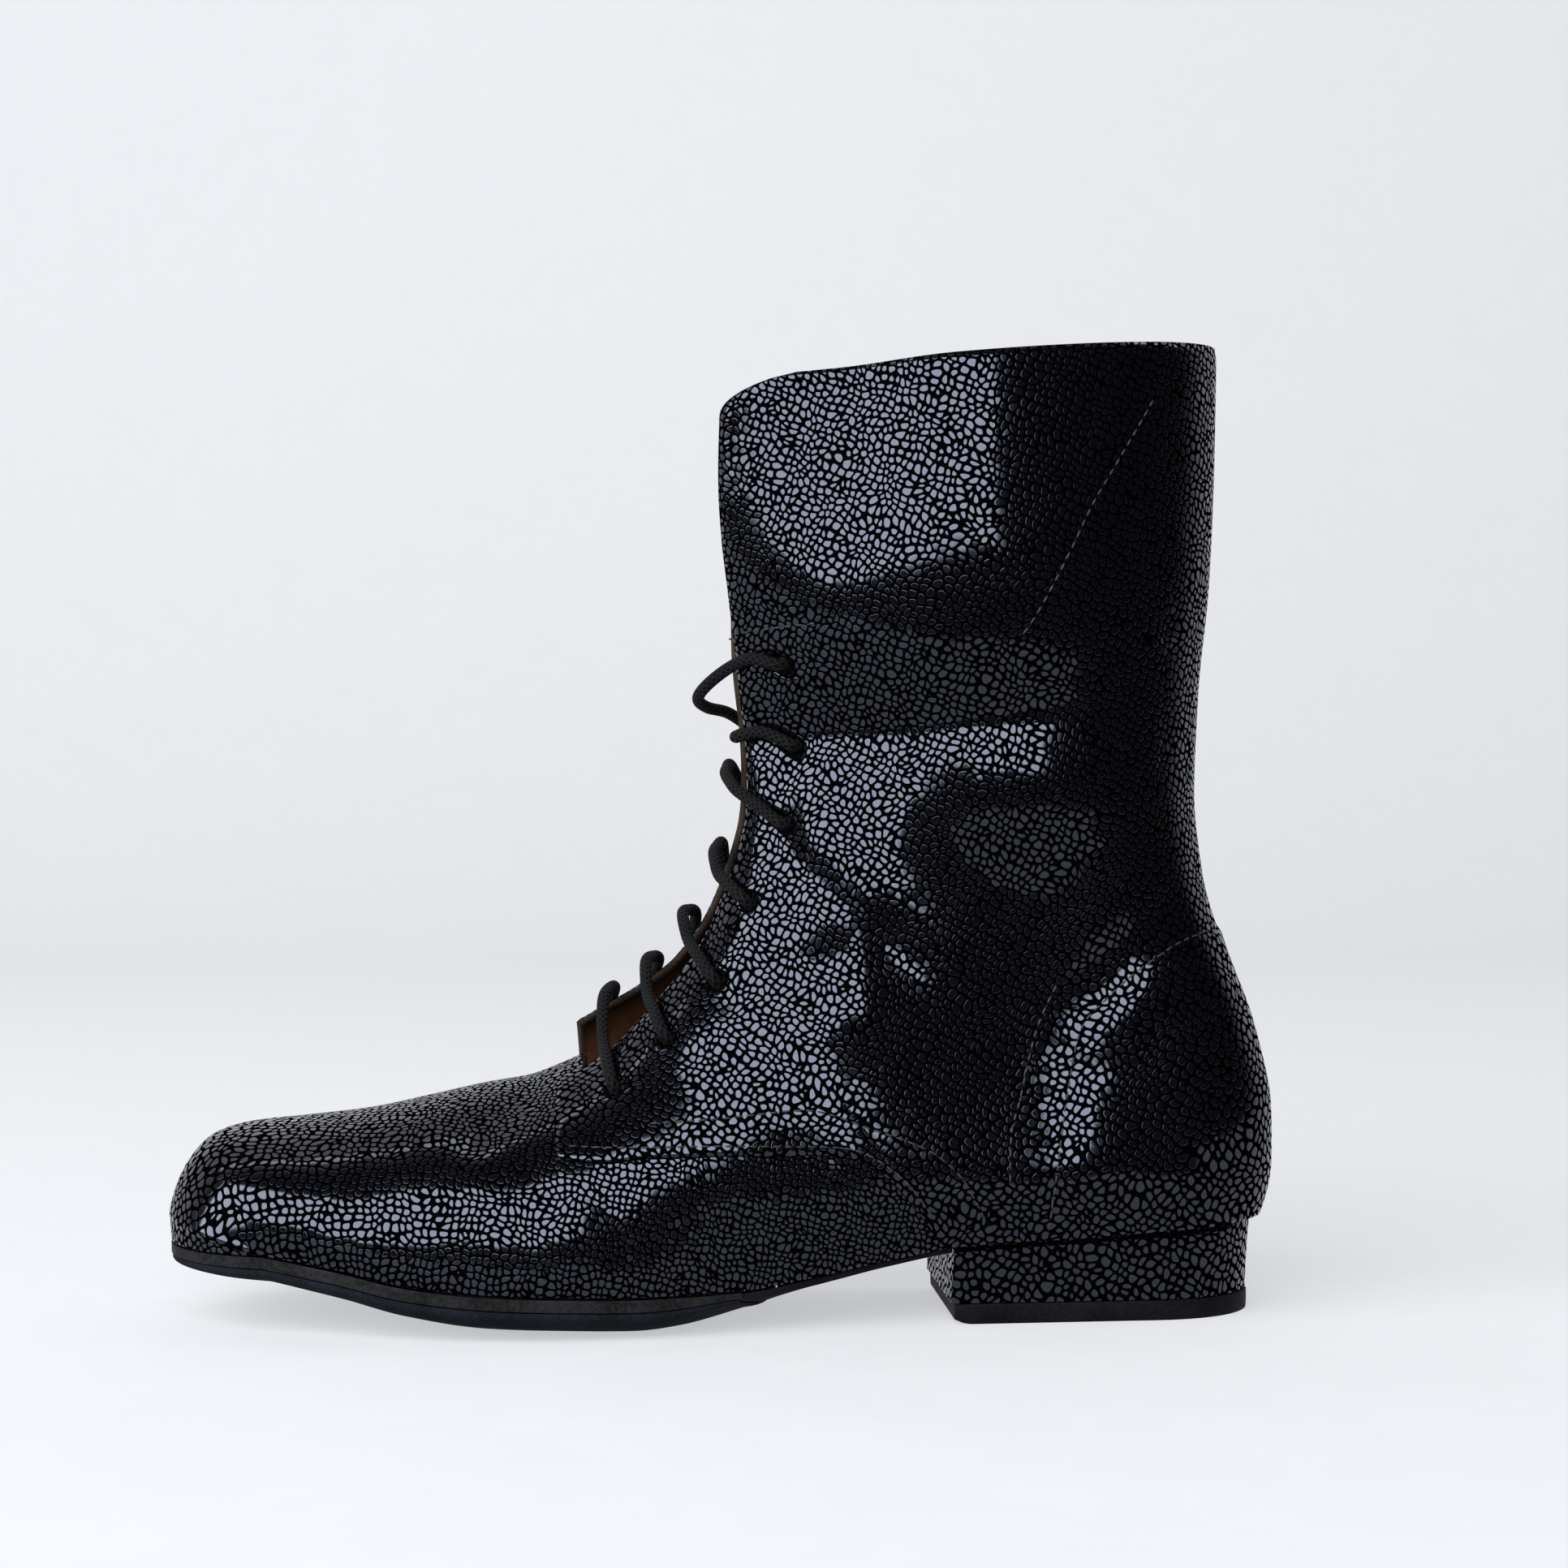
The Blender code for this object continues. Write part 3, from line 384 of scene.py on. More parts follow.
def push_out(bm, outward):
    """Face a sheet outward and move it along its normals: offset, counter step and folds."""
    bm.normal_update()
    if sum(vert.normal.y * vert.co.y for vert in bm.verts) < 0:
        bmesh.ops.reverse_faces(bm, faces=bm.faces)
        bm.normal_update()
    points = np.array([vert.co for vert in bm.verts])
    x, y, z = points.T
    push = outward + counter_raise(x, z) - fold_depth(x, y, z)
    for vert, length in zip(bm.verts, push):
        vert.co += vert.normal * float(length)
    bm.normal_update()


def soften_edge(bm, width, drop):
    """Let a sheet drop towards its open edge, as a skived leather edge does."""
    rim = [vert.co.copy() for vert in bm.verts if vert.is_boundary]
    near = KDTree(len(rim))
    for index, point in enumerate(rim):
        near.insert(point, index)
    near.balance()
    for vert in bm.verts:
        share = max(1 - near.find(vert.co)[2] / width, 0.0)
        vert.co -= vert.normal * (drop * share * share)
    bm.normal_update()


def finish_piece(name, bm, finishes, smooth_shading=True):
    """Scale to the frame and make an object at the origin."""
    bmesh.ops.transform(bm, matrix=TO_FRAME, verts=bm.verts)
    mesh = bpy.data.meshes.new(name)
    bm.to_mesh(mesh)
    bm.free()
    for finish in finishes:
        mesh.materials.append(finish)
    piece = bpy.data.objects.new(name, mesh)
    bpy.context.collection.objects.link(piece)
    mesh.polygons.foreach_set("use_smooth", [smooth_shading] * len(mesh.polygons))
    return piece


def wall(piece, thickness):
    """Give a sheet its wall inward, with the lining on its inner face and a raw edge on its rim."""
    step = piece.modifiers.new("wall", "SOLIDIFY")
    step.thickness = thickness * MM
    step.offset = -1
    step.material_offset = 1
    step.material_offset_rim = 2


# %% [markdown]
# ## Finishes
#
# Every finish is a node material. The upper's leather is covered in flat, glossy pebbles with dull
# black gaps, and that grain is the boot's main look. The gaps are painted darker than the tops and get
# no shine: painted shade for the shadow that falls between the pebbles. An image could carry the grain,
# but nodes stay sharp at any distance. It is a Voronoi pattern in the leather's own flat coordinates, so
# that the pebbles keep their size where the skin bends. The pattern is made twice,
# sharp and smooth: the difference is nothing on a pebble's top and grows into the gaps, which gives
# round tops. Each pebble tilts a little so that its glint differs from its neighbour's.

# %% Tools for node materials
def new_finish(name):
    finish = bpy.data.materials.new(name)
    finish.use_nodes = True
    return finish, finish.node_tree, finish.node_tree.nodes["Principled BSDF"]


def node(tree, kind, inputs=None, **settings):
    """New node with settings, and with inputs that are values or another node's output."""
    made = tree.nodes.new(kind)
    for key, value in settings.items():
        setattr(made, key, value)
    for key, value in (inputs or {}).items():
        if isinstance(value, bpy.types.NodeSocket):
            tree.links.new(value, made.inputs[key])
        else:
            made.inputs[key].default_value = value
    return made


def maths(tree, operation, first, second=0.0, third=0.0):
    return node(tree, "ShaderNodeMath", {0: first, 1: second, 2: third}, operation=operation).outputs[0]


def vectors(tree, operation, first, second, output="Vector"):
    made = node(tree, "ShaderNodeVectorMath", {0: first, 1: second}, operation=operation)
    return made.outputs[output]


def ramp(tree, value, low, high, start=0.0, end=1.0):
    """Soft step from start to end while value goes from low to high."""
    inputs = {"Value": value, "From Min": low, "From Max": high, "To Min": start, "To Max": end}
    return node(tree, "ShaderNodeMapRange", inputs, interpolation_type="SMOOTHSTEP").outputs["Result"]


def mix_colour(tree, factor, first, second):
    made = node(tree, "ShaderNodeMix", data_type="RGBA")
    for socket, value in ((made.inputs[0], factor), (made.inputs[6], first), (made.inputs[7], second)):
        if isinstance(value, bpy.types.NodeSocket):
            tree.links.new(value, socket)
        else:
            socket.default_value = value
    return made.outputs[2]


def bump(tree, shader, height, depth):
    """Relief of a depth in millimetres."""
    made = node(tree, "ShaderNodeBump", {"Height": height, "Distance": depth * MM, "Strength": 1.0})
    tree.links.new(made.outputs["Normal"], shader.inputs["Normal"])


# %% Pebbled leather
MIDDLE_GREY = (0.5, 0.5, 0.5)
# Turn of the pebbles' rows, unevenness of their places, and smoothness that rounds them.
PEBBLE_TURN, PEBBLE_SPREAD, ROUNDING = 0.5, 0.68, 0.5
# How the rows wander: waves per millimetre and reach in millimetres.
DRIFT_WAVES, DRIFT_REACH = 0.10, 3.6
# Where a glossy top ends and where its dome falls off, as groove values.
TOP_EDGE, DOME_EDGE = (0.016, 0.048), (0.004, 0.16)
PEBBLE_LEAN, PEBBLE_RELIEF = 0.3, 0.22
GAP_ROUGHNESS, TOP_ROUGHNESS, ROUGHNESS_SPREAD = 0.9, 0.07, 0.05
# Painted shade: the gaps get a darker colour than the tops and no shine, for the shadow between pebbles.
TOP_SHINE, SHINE_TINT = 0.60, (0.76, 0.81, 1.0, 1)
GAP_SHADE_COLOUR, TOP_COLOUR = (0.0006, 0.0006, 0.0008, 1), (0.0014, 0.0014, 0.0022, 1)


def pebble_places(tree, pebble):
    """Flat coordinates in pebbles, with rows that wander."""
    flat = node(tree, "ShaderNodeUVMap", uv_map="grain").outputs["UV"]
    turn = {"Vector": flat, "Rotation": (0, 0, PEBBLE_TURN)}
    flat = node(tree, "ShaderNodeMapping", turn).outputs["Vector"]
    waves = {"Vector": flat, "Scale": DRIFT_WAVES, "Detail": 1.0}
    drift = node(tree, "ShaderNodeTexNoise", waves, noise_dimensions="2D").outputs["Color"]
    drift = vectors(tree, "SUBTRACT", drift, MIDDLE_GREY)
    drift = vectors(tree, "MULTIPLY", drift, (DRIFT_REACH,) * 3)
    place = vectors(tree, "ADD", flat, drift)
    return vectors(tree, "MULTIPLY", place, (1 / pebble,) * 3)


def pebbled_leather(name, pebble):
    """Leather whose pebbles are about that many millimetres across."""
    finish, tree, shader = new_finish(name)
    place = pebble_places(tree, pebble)
    cells = {"Vector": place, "Scale": 1.0, "Randomness": PEBBLE_SPREAD}
    sharp = node(tree, "ShaderNodeTexVoronoi", cells, voronoi_dimensions="2D", feature="F1")
    cells["Smoothness"] = 2 * ROUNDING
    soft = node(tree, "ShaderNodeTexVoronoi", cells, voronoi_dimensions="2D", feature="SMOOTH_F1")
    groove = maths(tree, "SUBTRACT", sharp.outputs["Distance"], soft.outputs["Distance"])
    groove = maths(tree, "DIVIDE", groove, ROUNDING)
    glossy_top_shaded_gap = ramp(tree, groove, *TOP_EDGE, 1.0, 0.0)
    dome = ramp(tree, groove, *DOME_EDGE, 1.0, 0.0)
    offset = vectors(tree, "SUBTRACT", place, sharp.outputs["Position"])
    lean = vectors(tree, "SUBTRACT", sharp.outputs["Color"], MIDDLE_GREY)
    tilt = vectors(tree, "DOT_PRODUCT", offset, lean, "Value")
    height = maths(tree, "MULTIPLY_ADD", maths(tree, "MULTIPLY", tilt, dome), PEBBLE_LEAN, dome)
    bump(tree, shader, height, PEBBLE_RELIEF)
    shade = node(tree, "ShaderNodeSeparateColor", {0: sharp.outputs["Color"]}).outputs[0]
    gloss = maths(tree, "MULTIPLY_ADD", shade, ROUGHNESS_SPREAD, TOP_ROUGHNESS)
    levels = {"Value": glossy_top_shaded_gap, "To Min": GAP_ROUGHNESS, "To Max": gloss}
    rough = node(tree, "ShaderNodeMapRange", levels).outputs["Result"]
    tree.links.new(rough, shader.inputs["Roughness"])
    # Painted shade in the gaps: where the mask falls to zero, the colour darkens and the shine goes out.
    tree.links.new(mix_colour(tree, glossy_top_shaded_gap, GAP_SHADE_COLOUR, TOP_COLOUR), shader.inputs["Base Color"])
    tree.links.new(maths(tree, "MULTIPLY", glossy_top_shaded_gap, TOP_SHINE), shader.inputs["Specular IOR Level"])
    shader.inputs["Specular Tint"].default_value = SHINE_TINT
    return finish


vamp_leather = pebbled_leather("vamp_leather", 2.1)
quarter_leather = pebbled_leather("quarter_leather", 2.1)
heel_leather = pebbled_leather("heel_leather", 2.4)
print("pebbled finishes made")


# %% Plain finishes
CLOUDS_PER_METRE = 90.0


def mottled(name, dark, light, rough, grain_size, relief, shine=0.15):
    """Matt finish with cloudy colour and a fine grain, in Object coordinates."""
    finish, tree, shader = new_finish(name)
    where = node(tree, "ShaderNodeTexCoord").outputs["Object"]
    clouds = {"Vector": where, "Scale": CLOUDS_PER_METRE, "Detail": 4.0}
    cloud = node(tree, "ShaderNodeTexNoise", clouds).outputs["Fac"]
    grains = {"Vector": where, "Scale": 1 / (grain_size * MM), "Detail": 3.0}
    grain = node(tree, "ShaderNodeTexNoise", grains).outputs["Fac"]
    both = maths(tree, "MULTIPLY_ADD", grain, 0.5, maths(tree, "MULTIPLY", cloud, 0.5))
    blend = ramp(tree, both, 0.35, 0.65)
    tree.links.new(mix_colour(tree, blend, (*dark, 1), (*light, 1)), shader.inputs["Base Color"])
    tree.links.new(ramp(tree, grain, 0.3, 0.7, rough - 0.08, rough + 0.06), shader.inputs["Roughness"])
    shader.inputs["Specular IOR Level"].default_value = shine
    bump(tree, shader, grain, relief)
    return finish


lining_leather = mottled("lining_leather", (0.070, 0.030, 0.013), (0.12, 0.055, 0.026), 0.62, 1.2, 0.10)
raw_edge = mottled("raw_edge", (0.006, 0.004, 0.003), (0.030, 0.018, 0.010), 0.85, 0.8, 0.12)
insole_leather = mottled("insole_leather", (0.055, 0.030, 0.016), (0.10, 0.058, 0.032), 0.7, 1.4, 0.10)
welt_rubber = mottled("welt_rubber", (0.003, 0.003, 0.0035), (0.012, 0.012, 0.013), 0.6, 1.1, 0.10, 0.06)
sole_suede = mottled("sole_suede", (0.003, 0.0035, 0.005), (0.008, 0.009, 0.013), 0.95, 0.7, 0.25, 0.05)
waist_suede = mottled("waist_suede", (0.003, 0.003, 0.0035), (0.007, 0.007, 0.008), 0.95, 0.7, 0.25, 0.05)
heel_rubber = mottled("heel_rubber", (0.0015, 0.0015, 0.0018), (0.005, 0.005, 0.006), 0.6, 0.9, 0.06, 0.05)
stitch_thread = mottled("stitch_thread", (0.008, 0.008, 0.009), (0.024, 0.024, 0.024), 0.5, 0.4, 0.05,
                        0.25)
print("plain finishes made")

# %% [markdown]
# ## Vamp and quarters
#
# The vamp wraps the toe and runs back in two wings under the quarters. The quarters carry the flaps and
# the shaft. Both could be sculpted, but they are flat hides pulled over the last, so each is a grid
# laid on the sections, pushed into its creases, and then thickened inward with a lining on its inner
# face. The quarters also get a skived edge.


# %% Vamp
def vamp_sheet(rows=150, columns=132, wing_columns=60):
    last_row = quarter_edges[LATERAL][-1][0]
    flange_end = FLAP_ROW + FLANGE_ROWS
    lap = math.radians(9)
    split = 1 - wing_columns / columns
    bm = grid(rows, columns)
    drop_faces(bm, lambda c: abs(c.y) < split and c.x * last_row > flange_end)
    for vert in bm.verts:
        section = section_at(round(vert.co.x * last_row, 6))
        side = LATERAL if vert.co.y < 0 else MEDIAL
        base = section.base_angle[side]
        wing_top = smooth(quarter_edges[side], 1, section.row) - lap
        share = abs(vert.co.y)
        if share < split:
            angle = wing_top * share / split
        else:
            angle = wing_top + (base - wing_top) * (share - split) / (1 - split)
        vert.co = section.place(angle, side)
    return bm


bm = vamp_sheet()
push_out(bm, 0.0)
vamp = finish_piece("vamp", bm, (vamp_leather, lining_leather, raw_edge))
wall(vamp, VAMP_WALL)
print("vamp faces:", len(vamp.data.polygons))


# %% Quarters and shaft
def quarter_sheet(rows=190, columns=160):
    bm = grid(rows, columns)
    inner = 2.0 / columns
    span = COLLAR_ROW - FLAP_ROW
    drop_faces(bm, lambda c: abs(c.y) < inner and FLAP_ROW + c.x * span < HEEL_ROW)
    for edge in bm.edges:
        edge.seam = all(abs(vert.co.y) < 1e-6 for vert in edge.verts)
    for vert in bm.verts:
        row = FLAP_ROW + vert.co.x * span
        side = LATERAL if vert.co.y < 0 else MEDIAL
        if side == MEDIAL:
            row += MEDIAL_FLAP_LAG * (1 - vert.co.x) ** 6
        if row < HEEL_ROW and abs(vert.co.y) < inner / 2:
            vert.co = section_at(HEEL_ROW).place(math.pi, side)
            continue
        section = section_at(round(row, 6))
        low = section.base_angle[side]
        if row < quarter_edges[side][-1][0]:
            low = smooth(quarter_edges[side], 1, row)
        share = (1 - abs(vert.co.y)) / (1 - inner) if row < HEEL_ROW else 1 - abs(vert.co.y)
        angle = section.gap[side] + share * (low - section.gap[side])
        vert.co = section.place(angle, side, section.flap_lift(angle, side))
    return bm


def punch(bm, skin, side, x, z):
    """Cut a round eyelet hole and draw the cut's rim onto its circle."""
    section = section_at(round(spot(x, z, side)[0], 6))
    near = section.place(spot(x, z, side)[1], side)
    centre, normal, _, _ = skin.find_nearest(near)
    radius = EYELET_DIAMETER / 2
    doomed = [face for face in bm.faces if (face.calc_center_median() - centre).length < radius]
    bmesh.ops.delete(bm, geom=doomed, context="FACES")
    for vert in [v for v in bm.verts if v.is_boundary and (v.co - centre).length < radius * 1.7]:
        out = vert.co - centre
        height = out.dot(normal)
        vert.co = centre + (out - normal * height).normalized() * radius + normal * height


bm = quarter_sheet()
push_out(bm, QUARTER_STEP)
quarter_skin = BVHTree.FromBMesh(bm)
for _, eyelet_x, eyelet_z in EYELETS:
    for side in (LATERAL, MEDIAL):
        punch(bm, quarter_skin, side, eyelet_x, eyelet_z)
loose = [vert for vert in bm.verts if not vert.link_faces]
bmesh.ops.delete(bm, geom=loose, context="VERTS")
soften_edge(bm, 1.2, 0.45)
quarters = finish_piece("quarters", bm, (quarter_leather, lining_leather, raw_edge))
wall(quarters, QUARTER_WALL)
print("quarter faces:", len(quarters.data.polygons))

# %% [markdown]
# ### Flat coordinates for the grain
#
# A hide is flat before it is lasted. A pattern in space would be simpler, but it cuts through the
# pebbles where the skin turns. Unwrapping the sheet brings it back to its flat cut, one island
# for each quarter, and the pebbles are drawn there. The islands are scaled to millimetres. Real hides
# have larger pebbles near the spine, so the flat map is bent by a complex square, which changes scale
# without shearing the pebbles.


# %% Unwrap the leather
ISLAND_STEP = 400


def unwrap(piece):
    """Unwrap a sheet, and give the flat place of each face corner."""
    mesh = piece.data
    mesh.uv_layers.new(name="grain")
    bpy.context.view_layer.objects.active = piece
    bpy.ops.object.mode_set(mode="EDIT")
    bpy.ops.mesh.select_all(action="SELECT")
    bpy.ops.uv.unwrap(method="CONFORMAL", margin=0.0)
    bpy.ops.object.mode_set(mode="OBJECT")
    flat = np.empty(len(mesh.loops) * 2)
    mesh.uv_layers["grain"].data.foreach_get("uv", flat)
    return flat.reshape(-1, 2)


def flat_cut(piece, growth):
    """Unwrap a sheet to millimetres; growth is how fast its pebbles get larger towards the heel."""
    mesh = piece.data
    flat = unwrap(piece)
    corner = np.empty(len(mesh.loops), dtype=int)
    mesh.loops.foreach_get("vertex_index", corner)
    points = np.empty(len(mesh.vertices) * 3)
    mesh.vertices.foreach_get("co", points)
    points = points.reshape(-1, 3)[corner] / MM
    middle_y = np.array([face.center.y for face in mesh.polygons])
    loop_total = np.array([face.loop_total for face in mesh.polygons])
    sides = np.zeros(len(corner))
    if growth:
        sides = np.repeat(np.where(middle_y < 0, LATERAL, MEDIAL), loop_total)
    starts = np.array([face.loop_start for face in mesh.polygons])
    areas = np.array([face.area for face in mesh.polygons]) / MM ** 2
    ahead = np.arange(len(corner)) + 1
    ahead[starts + loop_total - 1] = starts
    shoelace = flat[:, 0] * flat[ahead, 1] - flat[:, 1] * flat[ahead, 0]
    flat_areas = np.abs(np.add.reduceat(shoelace, starts)) / 2
    face_sides = sides[starts]
    for side in np.unique(sides):
        chosen = sides == side
        mine = face_sides == side
        island = flat[chosen] * math.sqrt(areas[mine].sum() / flat_areas[mine].sum())
        island -= island.mean(axis=0)
        fit = np.linalg.lstsq(np.c_[island, np.ones(len(island))], points[chosen, 0], rcond=None)[0]
        turned = (island[:, 0] + 1j * island[:, 1]) * (fit[0] - 1j * fit[1]) / abs(fit[0] + 1j * fit[1])
        print(piece.name, "flat cut", round(np.ptp(turned.real)), "x", round(np.ptp(turned.imag)), "mm")
        bent = turned - growth / 2 * turned ** 2
        flat[chosen] = np.c_[bent.real + ISLAND_STEP * side, bent.imag]
    mesh.uv_layers["grain"].data.foreach_set("uv", flat.ravel())


flat_cut(vamp, 0.0)
flat_cut(quarters, 0.0012)

# %% [markdown]
# ## Sole, heel and insole
#
# The split sole has a forefoot pad of two layers, a suede cover under the waist and a block heel.
# They could be extruded from outlines, but most of their faces bend with the feather line. So one
# tool builds them all as plates: a grid gets a thickness, its rim is cut into steps, and a small
# function says where each point lies.


# %% Tool for plates
def sag(x, y):
    """Drop of the sole between its edges."""
    share = min(abs(y) / outline(x, LATERAL if y < 0 else MEDIAL), 1.0)
    return smooth(SAG, 1, x) * (1 - share ** 4)


def crowd(share, round_ends):
    """Share 0..1 along a plate, crowded towards its round ends."""
    if round_ends == "both":
        return (1 - math.cos(math.pi * share)) / 2
    if round_ends == "front":
        return 1 - math.cos(math.pi / 2 * share)
    if round_ends == "back":
        return math.sin(math.pi / 2 * share)
    return share


def across(x, share, inset):
    side = LATERAL if share < 0 else MEDIAL
    return share * max(outline(x, side) - inset, 0.5)


def plate(name, finish, ends, rows, columns, place, round_ends, rim_steps, bevel):
    """Closed plate. place(x, share, depth) gives a point; depth is 0 on top and 1 underneath."""
    bm = grid(rows, columns)
    bmesh.ops.solidify(bm, geom=bm.faces[:], thickness=1.0)
    rim = [edge for edge in bm.edges if abs(edge.verts[0].co.z - edge.verts[1].co.z) > 0.5]
    bmesh.ops.subdivide_edges(bm, edges=rim, cuts=rim_steps)
    lowest = min(vert.co.z for vert in bm.verts)
    highest = max(vert.co.z for vert in bm.verts)
    for vert in bm.verts:
        x = ends[0] + (ends[1] - ends[0]) * crowd(vert.co.x, round_ends)
        vert.co = place(x, vert.co.y, (highest - vert.co.z) / (highest - lowest))
    bmesh.ops.recalc_face_normals(bm, faces=bm.faces)
    piece = finish_piece(name, bm, (finish,))
    if bevel:
        step = piece.modifiers.new("edge", "BEVEL")
        step.width = bevel * MM
        step.segments = 2
        step.angle_limit = math.radians(40)
    return piece


# %% Forefoot pad
PAD_REAR_X, PAD_REAR_BOW = 2.0, 11.0
MIDSOLE_THICK, OUTSOLE_THICK, WAIST_THICK = 3.0, 3.0, 1.6
PAD_TAPER = ((TOE_X, 0.85), (-120, 0.95), (-90, 1.0), (-24, 1.0), (PAD_REAR_X, 0.45))


def pad_x(x, share):
    """Bow of the pad's rear edge."""
    reach = min(max((x - TOE_X) / (PAD_REAR_X - TOE_X), 0.0), 1.0)
    return x + PAD_REAR_BOW * (1 - share * share) * reach ** 6


def midsole_place(x, share, depth):
    y = across(x, share, -0.2 + 0.4 * depth)
    z = feather(x) - SEAT_GAP - sag(x, y) - MIDSOLE_THICK * smooth(PAD_TAPER, 1, x) * depth
    return Vector((pad_x(x, share), y, z))


def outsole_place(x, share, depth):
    inset = 0.3 + 2.9 * max(depth - 0.35, 0.0) ** 2 * 2.36
    y = across(x, share, inset)
    top = feather(x) - 2 * SEAT_GAP - sag(x, y) - MIDSOLE_THICK * smooth(PAD_TAPER, 1, x)
    z = max(top - OUTSOLE_THICK * smooth(PAD_TAPER, 1, x) * depth, 0.0)
    middle = (TOE_X + PAD_REAR_X) / 2
    shrink = 1 - inset / (PAD_REAR_X - middle)
    return Vector((middle + (pad_x(x, share) - middle) * shrink, y, z))


def waist_place(x, share, depth):
    reach = (x - PAD_REAR_X) / (BREAST_X - PAD_REAR_X)
    bow = (PAD_REAR_BOW * (1 - share * share) + 2 * SEAT_GAP) * (1 - reach) ** 2
    y = across(x, share, 0.6 + 0.6 * depth)
    return Vector((x + bow, y, feather(x) - SEAT_GAP - sag(x, y) - WAIST_THICK * depth))


pad_ends = (TOE_X + 0.5, PAD_REAR_X)
midsole = plate("welt_layer", welt_rubber, pad_ends, 110, 30, midsole_place, "front", 3, 0.4)
pad_ends = (TOE_X + 0.7, PAD_REAR_X - 0.4)
outsole = plate("suede_sole", sole_suede, pad_ends, 110, 30, outsole_place, "front", 7, 0)
waist_ends = (PAD_REAR_X, BREAST_X - 0.6)
waist = plate("waist_suede", waist_suede, waist_ends, 40, 24, waist_place, "none", 2, 0.3)
print("pad faces:", len(midsole.data.polygons), len(outsole.data.polygons), len(waist.data.polygons))

# %% Heel and insole
TOP_PIECE_THICK, HEEL_TAPER, HEEL_WAIST, HEEL_SEAT_DROP = 5.2, 3.2, 0.7, 0.8
# Groove under the upper: depth, and share of the heel's height.
GROOVE_DEPTH, GROOVE_SHARE = 1.3, 0.09
INSOLE_THICK, INSOLE_INSET = 2.4, 2.8


def heel_place(x, share, depth):
    top = feather(x) - HEEL_SEAT_DROP
    z = top + (TOP_PIECE_THICK + SEAT_GAP - top) * depth
    inset = 0.4 + HEEL_TAPER * depth + HEEL_WAIST * math.sin(math.pi * depth)
    inset += GROOVE_DEPTH * max(1 - depth / GROOVE_SHARE, 0.0)
    return Vector((x - 0.5 * depth, across(x, share, inset), z))


def top_piece_place(x, share, depth):
    inset = HEEL_TAPER + 0.6 + 0.7 * depth ** 4
    worn = 1.6 * max(1 - (x - BREAST_X) / 5, 0.0) ** 2
    return Vector((x, across(x, share, inset), TOP_PIECE_THICK + (worn - TOP_PIECE_THICK) * depth))


def insole_place(x, share, depth):
    y = across(x + math.copysign(INSOLE_INSET, x), share, INSOLE_INSET)
    return Vector((x, y, feather(x) - sag(x, y) + 1.5 * SEAT_GAP + INSOLE_THICK * (1 - depth)))


heel_ends = (BREAST_X, HEEL_X - 0.7)
heel = plate("heel_cover", heel_leather, heel_ends, 60, 24, heel_place, "back", 10, 0.5)
top_ends = (BREAST_X + 0.4, HEEL_X - 1.6)
top_piece = plate("heel_top", heel_rubber, top_ends, 60, 24, top_piece_place, "back", 4, 0.4)
insole_ends = (TOE_X + INSOLE_INSET + 0.6, HEEL_X - INSOLE_INSET - 0.8)
insole = plate("insole_sock", insole_leather, insole_ends, 90, 24, insole_place, "both", 1, 0.4)
print("heel faces:", len(heel.data.polygons), len(top_piece.data.polygons))


# %% Flat coordinates of the heel cover
BREAST_STEP = 300


def heel_flat_cut():
    """Flat coordinates of the heel's cover: length round the heel from its back, and height."""
    mesh = heel.data
    layer = mesh.uv_layers.new(name="grain").data
    xs = np.linspace(BREAST_X - 2, HEEL_X, 400)
    width = np.array([outline(min(x, HEEL_X), LATERAL) for x in xs])
    way = np.concatenate([[0.0], np.cumsum(np.hypot(np.diff(xs), np.diff(width)))])
    for face in mesh.polygons:
        breast, back = face.normal.x < -0.8, face.normal.x > 0.8
        for corner in face.loop_indices:
            point = mesh.vertices[mesh.loops[corner].vertex_index].co / MM
            round_heel = math.copysign(way[-1] - np.interp(point.x, xs, way), point.y)
            across_heel = point.y + BREAST_STEP * breast
            layer[corner].uv = (across_heel if breast or back else round_heel, point.z)
    return float(2 * way[-1])


print("heel cover runs", round(heel_flat_cut()), "mm round the heel")

# %% [markdown]
# ## Lace
#
# One round braided lace goes straight across the front through each pair of punched eyelets and runs
# inside the flaps between them. A bevelled curve would do for its shape, but the braid needs
# coordinates along and round the cord, so a grid is rolled round the smoothed route and keeps its own
# map.

# %% Route of the lace
LACE_BARS = (
    ((7, LATERAL), (6, MEDIAL), 8.0, 3.0),
    ((5, MEDIAL), (5, LATERAL), 2.5, 0.0),
    ((3, LATERAL), (3, MEDIAL), 4.5, 0.0),
    ((1, MEDIAL), (1, LATERAL), 4.5, 0.0),
    ((2, LATERAL), (2, MEDIAL), 4.5, 0.0),
    ((4, MEDIAL), (4, LATERAL), 2.5, 0.0),
    ((6, LATERAL), (7, MEDIAL), -3.0, 4.0),
)
LACE_SHIFT = (0.0, 0.1, 0.14, 0.0, -0.14, -0.1)
# How far the lace slides along the row of eyelets on its way to the flap's edge, as a share of the step
# to the next eyelet.
LACE_SLIDE = {
    LATERAL: (0.0, 0.0, 0.0, 0.0, 0.0, -0.35, -0.4),
    MEDIAL: (0.35, 0.35, 0.35, 0.35, 0.3, 0.0, 0.0),
}
LACE_ARCH = ((0.25, 0.7), (0.5, 1.0), (0.75, 0.7))
# The last stretch dips between the flaps and ends in its eyelet from inside.
LACE_DIP = ((0.25, 0.5), (0.5, 0.5), (0.75, 0.2))
LACE_END = (-0.3, -QUARTER_WALL - 1.2, -QUARTER_WALL - 3.0)
LACE_CLIMB = ((0.0, 0.5), (0.13, 1.0), (0.5, 1.1), (1.0, 1.15))
print("lace bars:", len(LACE_BARS))


